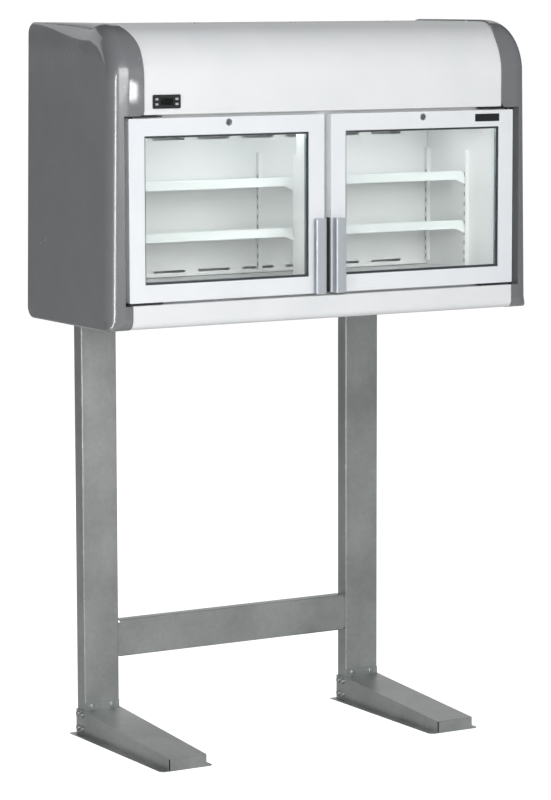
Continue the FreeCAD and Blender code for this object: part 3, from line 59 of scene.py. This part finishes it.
SHARP_TURN = 30       # degrees: edges that turn more than this are rounded off
SMOOTH_TURN = 35      # degrees: edges that turn less than this are shaded smooth
FACING = 0.99         # how squarely a face looks a given way, 1 being exactly


# ---------------------------------------------------------------- finishes

def linear(code):
    """The colour an sRGB hex code stands for, as the shaders want it."""
    parts = [int(code[i:i + 2], 16) / 255 for i in (1, 3, 5)]
    return tuple(c / 12.92 if c <= 0.04045 else ((c + 0.055) / 1.055) ** 2.4 for c in parts) + (1.0,)


def add(tree, kind, settings=None, sockets=None, links=None):
    """One node with its settings, its fixed sockets and what feeds the others."""
    node = tree.nodes.new(kind)
    for name, value in (settings or {}).items():
        setattr(node, name, value)
    for name, value in (sockets or {}).items():
        node.inputs[name].default_value = value
    for name, output in (links or {}).items():
        tree.links.new(output, node.inputs[name])
    return node


def new_finish(name):
    """A material with its shader, and the place on the object that its patterns read."""
    material = bpy.data.materials.new(name)
    material.use_nodes = True
    tree = material.node_tree
    shader = tree.nodes["Principled BSDF"]
    place = add(tree, "ShaderNodeTexCoord").outputs["Object"]
    return material, tree, shader, place


def shades(tree, factor, stops):
    """Colours along a factor; stops are (position, hex)."""
    ramp = add(tree, "ShaderNodeValToRGB", links={"Fac": factor})
    points = ramp.color_ramp.elements
    while len(points) < len(stops):
        points.new(0.5)
    for point, (position, code) in zip(points, stops):
        point.position = position
        point.color = linear(code)
    return ramp.outputs["Color"]


def spread(tree, factor, low, high):
    """The factor stretched to run from low to high."""
    return add(tree, "ShaderNodeMapRange", sockets={"To Min": low, "To Max": high},
               links={"Value": factor}).outputs["Result"]


def coated_sheet(name, light, dark, peel_mm=3.0, roughness=(0.28, 0.36), bump=0.04):
    """Baked enamel on steel: an even colour with a faint orange peel and slow changes of gloss."""
    cloud = 220 * MM
    material, tree, shader, place = new_finish(name)
    clouds = add(tree, "ShaderNodeTexNoise", sockets={"Scale": 1 / cloud, "Detail": 3.0, "Roughness": 0.55},
                 links={"Vector": place}).outputs["Fac"]
    peel = add(tree, "ShaderNodeTexNoise", sockets={"Scale": 1 / (peel_mm * MM), "Detail": 1.0},
               links={"Vector": place}).outputs["Fac"]
    tree.links.new(shades(tree, clouds, [(0.35, dark), (0.65, light)]), shader.inputs["Base Color"])
    tree.links.new(spread(tree, clouds, *roughness), shader.inputs["Roughness"])
    raised = add(tree, "ShaderNodeBump", sockets={"Strength": bump, "Distance": 0.0004},
                 links={"Height": peel})
    tree.links.new(raised.outputs["Normal"], shader.inputs["Normal"])
    return material


def moulded_plastic(name, light, dark, grain_mm=1.6, roughness=(0.3, 0.42), bump=0.06, gloss=0.5):
    """Injection-moulded plastic: fine grain from the mould and a slow drift of tone."""
    patch = 120 * MM
    material, tree, shader, place = new_finish(name)
    drift = add(tree, "ShaderNodeTexNoise", sockets={"Scale": 1 / patch, "Detail": 4.0, "Roughness": 0.6},
                links={"Vector": place}).outputs["Fac"]
    grain = add(tree, "ShaderNodeTexNoise", sockets={"Scale": 1 / (grain_mm * MM), "Detail": 2.0},
                links={"Vector": place}).outputs["Fac"]
    tree.links.new(shades(tree, drift, [(0.3, dark), (0.7, light)]), shader.inputs["Base Color"])
    tree.links.new(spread(tree, drift, *roughness), shader.inputs["Roughness"])
    shader.inputs["Specular IOR Level"].default_value = gloss
    raised = add(tree, "ShaderNodeBump", sockets={"Strength": bump, "Distance": 0.0003},
                 links={"Height": grain})
    tree.links.new(raised.outputs["Normal"], shader.inputs["Normal"])
    return material


def rolled_metal(name, light, dark, lines_mm=(400.0, 0.8), along="X", roughness=(0.28, 0.4), bump=0.05):
    """Drawn or brushed metal: fine lines along the way it was rolled."""
    material, tree, shader, place = new_finish(name)
    long_way, short_way = 1 / (lines_mm[0] * MM), 1 / (lines_mm[1] * MM)
    scale = [short_way, short_way, short_way]
    scale["XYZ".index(along)] = long_way
    stretched = add(tree, "ShaderNodeMapping", sockets={"Scale": scale},
                    links={"Vector": place}).outputs["Vector"]
    lines = add(tree, "ShaderNodeTexNoise", sockets={"Scale": 1.0, "Detail": 3.0, "Roughness": 0.6},
                links={"Vector": stretched}).outputs["Fac"]
    shader.inputs["Metallic"].default_value = 1.0
    tree.links.new(shades(tree, lines, [(0.3, dark), (0.7, light)]), shader.inputs["Base Color"])
    tree.links.new(spread(tree, lines, *roughness), shader.inputs["Roughness"])
    raised = add(tree, "ShaderNodeBump", sockets={"Strength": bump, "Distance": 0.0002},
                 links={"Height": lines})
    tree.links.new(raised.outputs["Normal"], shader.inputs["Normal"])
    return material


def hot_dip_zinc(name):
    """Galvanised sheet: satin zinc with a slow cloudiness, faint crystals and fine rolling lines."""
    crystal, cloud, line_width, line_length = 10 * MM, 180 * MM, 1.2 * MM, 300 * MM
    material, tree, shader, place = new_finish(name)
    crystals = add(tree, "ShaderNodeTexVoronoi", {"feature": "F1"},
                   {"Scale": 1 / crystal, "Randomness": 1.0}, {"Vector": place})
    tone = add(tree, "ShaderNodeSeparateColor", links={"Color": crystals.outputs["Color"]}).outputs["Red"]
    clouds = add(tree, "ShaderNodeTexNoise", sockets={"Scale": 1 / cloud, "Detail": 4.0, "Roughness": 0.55},
                 links={"Vector": place}).outputs["Fac"]
    drawn = add(tree, "ShaderNodeMapping",
                sockets={"Scale": (1 / line_width, 1 / line_width, 1 / line_length)},
                links={"Vector": place}).outputs["Vector"]
    lines = add(tree, "ShaderNodeTexNoise", sockets={"Scale": 1.0, "Detail": 2.0},
                links={"Vector": drawn}).outputs["Fac"]
    dappled = add(tree, "ShaderNodeMath", {"operation": "MULTIPLY_ADD"}, {1: 0.10}, {0: tone, 2: clouds})
    mixed = add(tree, "ShaderNodeMath", {"operation": "MULTIPLY_ADD"}, {1: 0.12},
                {0: lines, 2: dappled.outputs["Value"]}).outputs["Value"]
    grey = shades(tree, mixed, [(0.42, "#abaeac"), (0.6, "#b7bab8"), (0.8, "#c3c6c4")])
    shader.inputs["Metallic"].default_value = 1.0
    tree.links.new(grey, shader.inputs["Base Color"])
    tree.links.new(spread(tree, mixed, 0.3, 0.44), shader.inputs["Roughness"])
    raised = add(tree, "ShaderNodeBump", sockets={"Strength": 0.05, "Distance": 0.0002},
                 links={"Height": mixed})
    tree.links.new(raised.outputs["Normal"], shader.inputs["Normal"])
    return material


def float_glass(name):
    """Clear float glass, a touch green in its thickness, with faint wiping marks in the gloss."""
    wiping_mark = 90 * MM
    material, tree, shader, place = new_finish(name)
    wiped = add(tree, "ShaderNodeTexNoise", sockets={"Scale": 1 / wiping_mark, "Detail": 2.0},
                links={"Vector": place}).outputs["Fac"]
    shader.inputs["Base Color"].default_value = linear("#fcfefd")
    shader.inputs["Transmission Weight"].default_value = 1.0
    shader.inputs["IOR"].default_value = 1.5
    tree.links.new(spread(tree, wiped, 0.0, 0.012), shader.inputs["Roughness"])
    return material


def soft_rubber(name, light, dark):
    """Flexible PVC and rubber: dull, a little dusty, with a fine skin."""
    dust_patch = 30 * MM
    material, tree, shader, place = new_finish(name)
    dust = add(tree, "ShaderNodeTexNoise", sockets={"Scale": 1 / dust_patch, "Detail": 5.0},
               links={"Vector": place}).outputs["Fac"]
    tree.links.new(shades(tree, dust, [(0.35, dark), (0.7, light)]), shader.inputs["Base Color"])
    tree.links.new(spread(tree, dust, 0.45, 0.62), shader.inputs["Roughness"])
    raised = add(tree, "ShaderNodeBump", sockets={"Strength": 0.08, "Distance": 0.0002},
                 links={"Height": dust})
    tree.links.new(raised.outputs["Normal"], shader.inputs["Normal"])
    return material


def lamp_diffuser(name):
    """Opal polycarbonate lit from inside: white with a soft glow."""
    rib_pitch = 20 * MM
    material, tree, shader, place = new_finish(name)
    ribs = add(tree, "ShaderNodeTexWave", {"bands_direction": "X"},
               {"Scale": 1 / rib_pitch, "Distortion": 0.2}, {"Vector": place}).outputs["Fac"]
    tree.links.new(shades(tree, ribs, [(0.0, "#eef3f4"), (1.0, "#fbfdfd")]), shader.inputs["Base Color"])
    shader.inputs["Roughness"].default_value = 0.4
    shader.inputs["Emission Color"].default_value = linear("#fbfcff")
    shader.inputs["Emission Strength"].default_value = 5.0
    return material


finish = {
    # hot-dip zinc on cold-formed steel: a cool grey with a faint crystal pattern
    "galvanised_steel": hot_dip_zinc("galvanised steel"),
    # electro-plated steel of screws and bolts, brighter and smoother than the stand
    "zinc_plated_steel": rolled_metal("zinc plated steel", "#c3c7c9", "#9ea3a6", (6.0, 0.5), "Z"),
    # white baked enamel on sheet steel: cover, trims and case
    "white_coated_steel": coated_sheet("white enamelled steel", "#f1f2f3", "#eceeef"),
    # white extruded profile of the doors and the frame round them
    "white_frame": coated_sheet("white extruded door profile", "#f3f5f7", "#edf0f3", 2.0, (0.3, 0.4), 0.03),
    # glossy grey ABS of the end panels, polished enough to mirror the lights
    "grey_moulded_plastic": moulded_plastic("glossy grey ABS", "#787a7c", "#727476", 4.0, (0.22, 0.3),
                                            0.008, 1.0),
    # pale plastic liner of the cabin
    "pale_cabin_plastic": moulded_plastic("pale cabin plastic", "#f4f4f4", "#eff0f0", 2.0, (0.35, 0.45)),
    # blown insulation between the case and the liner
    "foam": moulded_plastic("polyurethane foam", "#d9c68e", "#c2ad74", 2.5, (0.8, 0.9), 0.5, 0.2),
    # the panes of the doors
    "clear_glass": float_glass("clear float glass"),
    # anodised spacer bar between the panes
    "grey_spacer": rolled_metal("grey anodised spacer", "#9aa3a8", "#848d92", (300.0, 0.7), "X"),
    # flexible PVC of the doors' magnetic seals, and the compressor's rubber mounts
    "dark_seal": soft_rubber("grey magnetic seal", "#5f666b", "#4a5156"),
    # anodised extrusion of the handles
    "satin_aluminium": rolled_metal("satin aluminium", "#d9dee3", "#cbd1d7", (500.0, 0.7), "Z", (0.3, 0.42)),
    # plated zinc casting of the cam locks
    "bright_chrome": rolled_metal("bright chrome", "#d2d4d6", "#c2c5c8", (30.0, 0.6), "X", (0.08, 0.14),
                                  0.01),
    # painted steel sheet of the hinge plates
    "black_steel": coated_sheet("black coated steel", "#2a2b2d", "#1d1e20", 1.6, (0.4, 0.5), 0.08),
    # textured ABS of the controller, the small plate, the fans and the inlet; the same black is also painted
    # shade on slot walls, screw recesses and the gaps by the doors and feet
    "black_plastic": moulded_plastic("black textured plastic and painted shade", "#1c1d1f", "#141517", 0.9, (0.35, 0.45), 0.12),
    # smoked acrylic over the controller's unlit digits
    "dark_window": moulded_plastic("smoked acrylic window", "#0b0c0e", "#060708", 3.0, (0.06, 0.1), 0.0),
    # silicone rubber keys of the controller
    "pale_button": moulded_plastic("pale grey rubber key", "#c3c8ca", "#b4babc", 0.8, (0.45, 0.55), 0.08),
    # stove enamel on the steel shells of the compressor and the fan motor
    "black_enamel": coated_sheet("black stove enamel", "#232426", "#161719", 2.0, (0.22, 0.32), 0.08),
    # thin aluminium fins of the condenser and evaporator
    "fin_aluminium": rolled_metal("aluminium fins", "#c4c8cb", "#aab0b4", (60.0, 0.8), "Z"),
    # drawn copper of the refrigerant pipes
    "copper_pipe": rolled_metal("drawn copper", "#c98b62", "#a96c46", (80.0, 0.6), "Z", (0.2, 0.35)),
    # opal polycarbonate over the cabin's lamp
    "white_lamp": lamp_diffuser("opal lamp cover"),
    # epoxy powder on the shelves
    "white_wire_shelf": coated_sheet("white epoxy shelf", "#f2f5f5", "#e9eeed", 2.5, (0.3, 0.4), 0.05),
}

# the end panels carry a clear gloss skin over the grey, which gives them their wet highlights
gloss = finish["grey_moulded_plastic"].node_tree.nodes["Principled BSDF"]
gloss.inputs["Coat Weight"].default_value = 1.0
gloss.inputs["Coat Roughness"].default_value = 0.04

# anodising scatters part of the light, so the handles look paler than bare metal
finish["satin_aluminium"].node_tree.nodes["Principled BSDF"].inputs["Metallic"].default_value = 0.6

for name, node in nodes.items():
    node.data.materials.clear()
    node.data.materials.append(finish[slot_of[name]])


# ---------------------------------------------------------------- ways to make a piece

def merged(node, whole=True):
    """A CAD node's shape joined up, and its flat faces made whole again where that is wanted."""
    shape = bmesh.new()
    shape.from_mesh(nodes[node].data)
    bmesh.ops.remove_doubles(shape, verts=shape.verts, dist=WELD_GAP)
    if whole:
        bmesh.ops.dissolve_limit(shape, angle_limit=radians(FLAT_TURN), verts=shape.verts, edges=shape.edges)
    return shape


def eased(shape, width, segments=2, angle=SHARP_TURN):
    """The edges where two faces meet at more than the angle, rounded off."""
    sharp = [edge for edge in shape.edges
             if len(edge.link_faces) == 2 and edge.calc_face_angle(0.0) > radians(angle)]
    bmesh.ops.bevel(shape, geom=sharp, offset=width, offset_type="OFFSET", affect="EDGES",
                    segments=segments, profile=0.5, material=-1, clamp_overlap=True)


def split(shape, parts, place, way):
    """Faces cut by a plane through a place, square to the way; gives the faces that come of them."""
    geometry = list(dict.fromkeys(item for part in parts for item in [part, *part.edges, *part.verts]))
    halves = bmesh.ops.bisect_plane(shape, geom=geometry, dist=CUT_GAP, plane_co=place, plane_no=way)
    return [item for item in halves["geom"] if isinstance(item, bmesh.types.BMFace)]


def cut_slot(shape, face, across, along, width, length, depth, painted_shade_index):
    """A rectangular slot sunk into a flat face about its middle, its walls in a black finish of their own
    that paints the shade inside the slot.
    """
    middle = face.calc_center_median()
    inward = -face.normal
    parts = [face]
    for way, size in ((across, width), (along, length)):
        for side in (-1, 1):
            parts = split(shape, parts, middle + way * size * side / 2, way)
    opening = min(parts, key=lambda part: (part.calc_center_median() - middle).length)
    before = set(shape.faces)
    sunk = bmesh.ops.extrude_face_region(shape, geom=[opening])["geom"]
    bmesh.ops.translate(shape, vec=inward * depth,
                        verts=[corner for corner in sunk if isinstance(corner, bmesh.types.BMVert)])
    if opening.is_valid:
        bmesh.ops.delete(shape, geom=[opening], context="FACES_ONLY")
    for part in set(shape.faces) - before:
        part.material_index = painted_shade_index


def fit(shape, name, stands_for, slot=None, flat=True, second=None):
    """A finished shape as a piece on the body of the node that it stands for."""
    for face in shape.faces:
        face.smooth = True
    for edge in shape.edges:
        edge.smooth = edge.calc_face_angle(0.0) < radians(SMOOTH_TURN)
    mesh = bpy.data.meshes.new(name)
    shape.to_mesh(mesh)
    shape.free()
    piece = bpy.data.objects.new(name, mesh)
    bpy.context.scene.collection.objects.link(piece)
    if flat:
        even = piece.modifiers.new("flat faces stay flat", "WEIGHTED_NORMAL")
        even.keep_sharp = True
    slot = slot or slot_of[stands_for]
    mesh.materials.append(finish[slot])
    if second:
        mesh.materials.append(finish[second])
    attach(piece, body_of[stands_for])
    return piece


def soften(node, width, segments=2):
    """A node's own shape with its edges rounded by a width in millimetres, in the node's place.
    A width of nothing keeps the CAD's own roundings."""
    shape = merged(node, bool(width))
    if width:
        eased(shape, width * MM, segments)
    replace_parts(fit(shape, f"{node}_eased", node), node)


# ---------------------------------------------------------------- pieces

X, Y, Z = (Vector(way) for way in ((1, 0, 0), (0, 1, 0), (0, 0, 1)))

# each node's edge rounding, in millimetres
for hand in ("left", "right"):
    soften(f"{hand}_door_frame", 1.2, 3)
    soften(f"{hand}_door_handle", 0.7, 3)
    soften(f"{hand}_post", 0.5)
    soften(f"{hand}_foot", 0.5)
    soften(f"{hand}_lower_shelf", 0.6)
    soften(f"{hand}_upper_shelf", 0.6)
    soften(f"{hand}_side_panel", 0.0)
    soften(f"{hand}_door_gasket", 0.0)
    soften(f"{hand}_upper_button", 1.3, 4)
    soften(f"{hand}_lower_button", 1.3, 4)
for node, width in (("crossbar", 0.5), ("ledge_trim", 0.4), ("front_frame", 0.6), ("mullion", 0.6),
                    ("bottom_front_trim", 0.6), ("curved_front_cover", 0.0), ("hinge_plates", 0.4),
                    ("cabinet_case", 0.0), ("hanger_brackets", 0.8), ("compressor_grommets", 1.5),
                    ("evaporator_cover", 0.5), ("shelf_clips", 0.3), ("badge_plate", 0.3),
                    ("lock_strikes", 0.3), ("mains_inlet", 0.8), ("back_panel", 0.0)):
    soften(node, width)


def facing(shape, way):
    """The outermost face that looks the given way."""
    return max((face for face in shape.faces if face.normal.dot(way) > FACING),
               key=lambda face: face.calc_center_median().dot(way))


def lock(hand):
    """A chrome cam lock: the ring in the door, and the plug that turns in it, with a key slot."""
    ring_easing, ring_turn = 0.5 * MM, 40
    slot_width, slot_length, slot_depth = 2.6 * MM, 8.0 * MM, 1.6 * MM
    body_node, plug_node = f"{hand}_lock_body", f"{hand}_lock_plug"
    ring = merged(body_node)
    eased(ring, ring_easing, 3, ring_turn)
    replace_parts(fit(ring, f"{hand}_lock_ring", body_node), body_node)
    plug = merged(plug_node)
    # the key slot's walls take the black finish: painted shade in the slot
    cut_slot(plug, facing(plug, -Y), X, Z, slot_width, slot_length, slot_depth, 1)
    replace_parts(fit(plug, f"{hand}_lock_keyway", plug_node, second="black_plastic"), plug_node)


def strip(name, stands_for, slot, low, high, easing):
    """A thin strip between two corners, with its edges eased, all in millimetres."""
    shape = bmesh.new()
    bmesh.ops.create_cube(shape, size=1.0)
    low, high = Vector(low) * MM, Vector(high) * MM
    bmesh.ops.scale(shape, vec=high - low, verts=shape.verts)
    bmesh.ops.translate(shape, vec=(low + high) / 2, verts=shape.verts)
    eased(shape, easing * MM)
    fit(shape, name, stands_for, slot)


def door_edge(hand, side):
    """The meeting edge of a door beside its handle: a black strip, partly a seal and partly painted shade of
    the deep gap between the doors, and the handle's aluminium leg.
    """
    low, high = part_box(f"{hand}_door_handle")
    bottom, top = low[2] / MM, high[2] / MM
    seal_face, door_edge_at = 9.7, 10.5
    leg_front, seal_front, seal_back = -243.4, -238.0, -221.0
    near, far = sorted((side * seal_face, side * door_edge_at))
    # the black strip is partly a seal and partly painted shade of the gap
    for name, front, back, slot in (("edge_seal_and_gap_shade", seal_front, seal_back, "black_plastic"),
                                    ("edge_leg", leg_front, seal_front, "satin_aluminium")):
        strip(f"{hand}_{name}", f"{hand}_door_frame", slot, (near, front, bottom), (far, back, top), 0.2)


def front_flap(hand):
    """The folded flap that closes a foot's front end, and a black strip at its side that paints the shade in
    the slot left there.
    """
    low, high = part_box(f"{hand}_foot")
    floor_flange, bottom, top = 20.3, 2.6, 30.2
    front, left, right = low[1] / MM, low[0] / MM + floor_flange, high[0] / MM - floor_flange
    slot_start, slot_end, inset = left + 0.8, left + 3.8, front + 0.2
    strip(f"{hand}_foot_flap", f"{hand}_foot", "galvanised_steel", (slot_end, front - 1.6, bottom),
          (right - 0.6, inset, top), 0.5)
    # black strip: painted shade in the slot beside the flap
    strip(f"{hand}_foot_slot_shade", f"{hand}_foot", "black_plastic", (slot_start, front - 0.4, bottom),
          (slot_end, inset, top), 0.1)


for hand, side in (("left", -1), ("right", 1)):
    lock(hand)
    door_edge(hand, side)
    front_flap(hand)


def islands(shape):
    """The separate solids of a shape, each as its list of faces."""
    left = set(shape.faces)
    found = []
    for start in shape.faces:
        if start not in left:
            continue
        left.remove(start)
        solid, front = [start], [start]
        while front:
            for edge in front.pop().edges:
                for other in edge.link_faces:
                    if other in left:
                        left.remove(other)
                        solid.append(other)
                        front.append(other)
        found.append(solid)
    return found


def slotted_pilasters():
    """The shelf pilasters with their row of hook slots, whose walls are black: painted shade in the slots."""
    bay_middle, pitch = 275 * MM, 25 * MM
    slot_width, slot_length, slot_depth = 3.2 * MM, 11 * MM, 1.2 * MM
    shape = merged("shelf_pilasters")
    for solid in islands(shape):
        middle = sum((face.calc_center_median() for face in solid), Vector()) / len(solid)
        inward = X if 0 < middle.x < bay_middle or middle.x < -bay_middle else -X
        room_side = [face for face in solid if face.normal.dot(inward) > FACING]
        rest = max(room_side, key=lambda face: face.calc_area())
        heights = [corner.co.z for corner in rest.verts]
        low, high = min(heights), max(heights)
        for step in range(1, int((high - low) / pitch)):
            parts = split(shape, [rest], Z * (low + pitch * step), Z)
            parts.sort(key=lambda part: part.calc_center_median().z)
            rest = parts[-1]
            cut_slot(shape, parts[0], Y, Z, slot_width, slot_length, slot_depth, 1)
    piece = fit(shape, "slotted_shelf_pilasters", "shelf_pilasters", second="black_plastic")
    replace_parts(piece, "shelf_pilasters")


slotted_pilasters()


def controller():
    """The controller's case, rounded at its square edges alone, and its window."""
    case = merged("controller_housing")
    eased(case, 0.9 * MM, 3, 60)
    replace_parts(fit(case, "controller_case", "controller_housing"), "controller_housing")
    window = merged("controller_window")
    eased(window, 0.3 * MM)
    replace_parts(fit(window, "controller_display", "controller_window"), "controller_window")


controller()


def screw_recesses():
    """The cross recess of each small screw: two thin black bars let into the head, painted shade standing for
    the recess.
    """
    length, width, depth = 3.4 * MM, 0.7 * MM, 0.5 * MM
    top_screws_above = 1650 * MM
    heads = merged("small_screws")
    bars = bmesh.new()
    for solid in islands(heads):
        corners = [vert.co for vert in {vert for face in solid for vert in face.verts}]
        low = Vector([min(corner[i] for corner in corners) for i in range(3)])
        high = Vector([max(corner[i] for corner in corners) for i in range(3)])
        middle = (low + high) / 2
        upward = high.z > top_screws_above
        tip = Vector((middle.x, middle.y, high.z)) if upward else Vector((middle.x, low.y, middle.z))
        for across, along in ((width, length), (length, width)):
            bar = bmesh.ops.create_cube(bars, size=1.0)["verts"]
            scale = (across, along, depth) if upward else (across, depth, along)
            bmesh.ops.scale(bars, vec=scale, verts=bar)
            bmesh.ops.translate(bars, vec=tip, verts=bar)
    heads.free()
    fit(bars, "small_screw_recess_shade", "small_screws", "black_plastic", flat=False)


screw_recesses()

# light goes straight through the panes, so the cabin keeps its own light
for hand in ("left", "right"):
    nodes[f"{hand}_door_panes"].visible_shadow = False


# ---------------------------------------------------------------- floor, light and camera

FLOOR_RADIUS = 600    # wide enough that its edge is never in the picture

floor_mesh = bpy.data.meshes.new("floor")
shape = bmesh.new()
bmesh.ops.create_circle(shape, cap_ends=True, segments=64, radius=FLOOR_RADIUS)
shape.to_mesh(floor_mesh)
shape.free()
floor = bpy.data.objects.new("floor", floor_mesh)
bpy.context.scene.collection.objects.link(floor)
floor_finish, tree, shader, _ = new_finish("pale studio floor")
shader.inputs["Base Color"].default_value = linear("#dadada")
shader.inputs["Roughness"].default_value = 0.9
shader.inputs["Specular IOR Level"].default_value = 0.1
shader.inputs["Emission Color"].default_value = (1, 1, 1, 1)
# the floor glows for the camera, which keeps it as white as the photograph's, and hardly for the object
ray = add(tree, "ShaderNodeLightPath").outputs["Is Camera Ray"]
tree.links.new(spread(tree, ray, 0.08, 0.9), shader.inputs["Emission Strength"])
floor_mesh.materials.append(floor_finish)

# a grey room round the object, darker behind it, that the camera itself sees as plain white
studio = bpy.data.worlds.new("studio")
bpy.context.scene.world = studio
studio.use_nodes = True
tree = studio.node_tree
background = tree.nodes["Background"]
way = add(tree, "ShaderNodeTexCoord").outputs["Generated"]
part_of_room = add(tree, "ShaderNodeSeparateXYZ", links={"Vector": way}).outputs
across = add(tree, "ShaderNodeMapRange", sockets={"From Min": -1.0, "From Max": 1.0},
             links={"Value": part_of_room["X"]}).outputs["Result"]
behind = add(tree, "ShaderNodeMapRange",
             sockets={"From Min": 0.0, "From Max": 0.6, "To Min": 1.0, "To Max": 0.15},
             links={"Value": part_of_room["Y"]}).outputs["Result"]
walls = shades(tree, across, [(0.0, "#76787a"), (0.5, "#b0b2b4"), (1.0, "#a3a5a8")])
dimmed = add(tree, "ShaderNodeVectorMath", {"operation": "SCALE"}, links={"Vector": walls, "Scale": behind})
tree.links.new(dimmed.outputs["Vector"], background.inputs["Color"])
background.inputs["Strength"].default_value = 0.82
seen = add(tree, "ShaderNodeBackground", sockets={"Color": (1, 1, 1, 1), "Strength": 1.0})
ray = add(tree, "ShaderNodeLightPath").outputs["Is Camera Ray"]
mixed = add(tree, "ShaderNodeMixShader", links={0: ray, 1: background.outputs[0], 2: seen.outputs[0]})
tree.links.new(mixed.outputs[0], tree.nodes["World Output"].inputs["Surface"])


def softbox(name, place, target, width, height, power):
    """A white rectangular studio light aimed at a point: metres and watts."""
    data = bpy.data.lights.new(name, "AREA")
    data.shape = "RECTANGLE"
    data.size = width
    data.size_y = height
    data.energy = power
    lamp = bpy.data.objects.new(name, data)
    lamp.location = place
    lamp.rotation_euler = (Vector(target) - Vector(place)).to_track_quat("-Z", "Y").to_euler()
    bpy.context.scene.collection.objects.link(lamp)


softbox("front softbox", (-1.15, -4.8, 2.5), (0, 0, 1.3), 5.4, 2.0, 150)
softbox("side strip", (-3.2, -1.85, 1.15), (0, 0, 1.15), 0.35, 1.7, 22)
softbox("window card", (1.155, -3.5, 1.55), (-0.53, -0.25, 1.67), 0.055, 0.075, 0.3)
softbox("back softbox", (1.7, 4.2, 2.7), (0, 0, 1.2), 4.6, 4.0, 34)
softbox("rear fill", (-2.6, 3.8, 3.4), (0, 0, 1.2), 3.4, 3.2, 30)


def photograph_camera():
    """The camera where the photograph was taken: level turn, downward tilt, slight roll, long lens."""
    place = Vector((-4.124922, -6.959461, 1.894969))
    focal_length, sensor_width = 144.718, 36
    turn, tilt, roll = radians(30.622), radians(7.290), radians(-0.140)
    ahead = Vector((sin(turn) * cos(tilt), cos(turn) * cos(tilt), -sin(tilt)))
    right = Vector((cos(turn), -sin(turn), 0))
    up = right.cross(ahead)
    right, up = right * cos(roll) + up * sin(roll), up * cos(roll) - right * sin(roll)
    data = bpy.data.cameras.new("photograph camera")
    data.lens = focal_length
    data.sensor_width = sensor_width
    camera = bpy.data.objects.new("photograph camera", data)
    camera.matrix_world = Matrix.Translation(place) @ Matrix((right, up, -ahead)).transposed().to_4x4()
    bpy.context.scene.collection.objects.link(camera)
    bpy.context.scene.camera = camera


photograph_camera()
bpy.context.scene.view_settings.view_transform = "Standard"
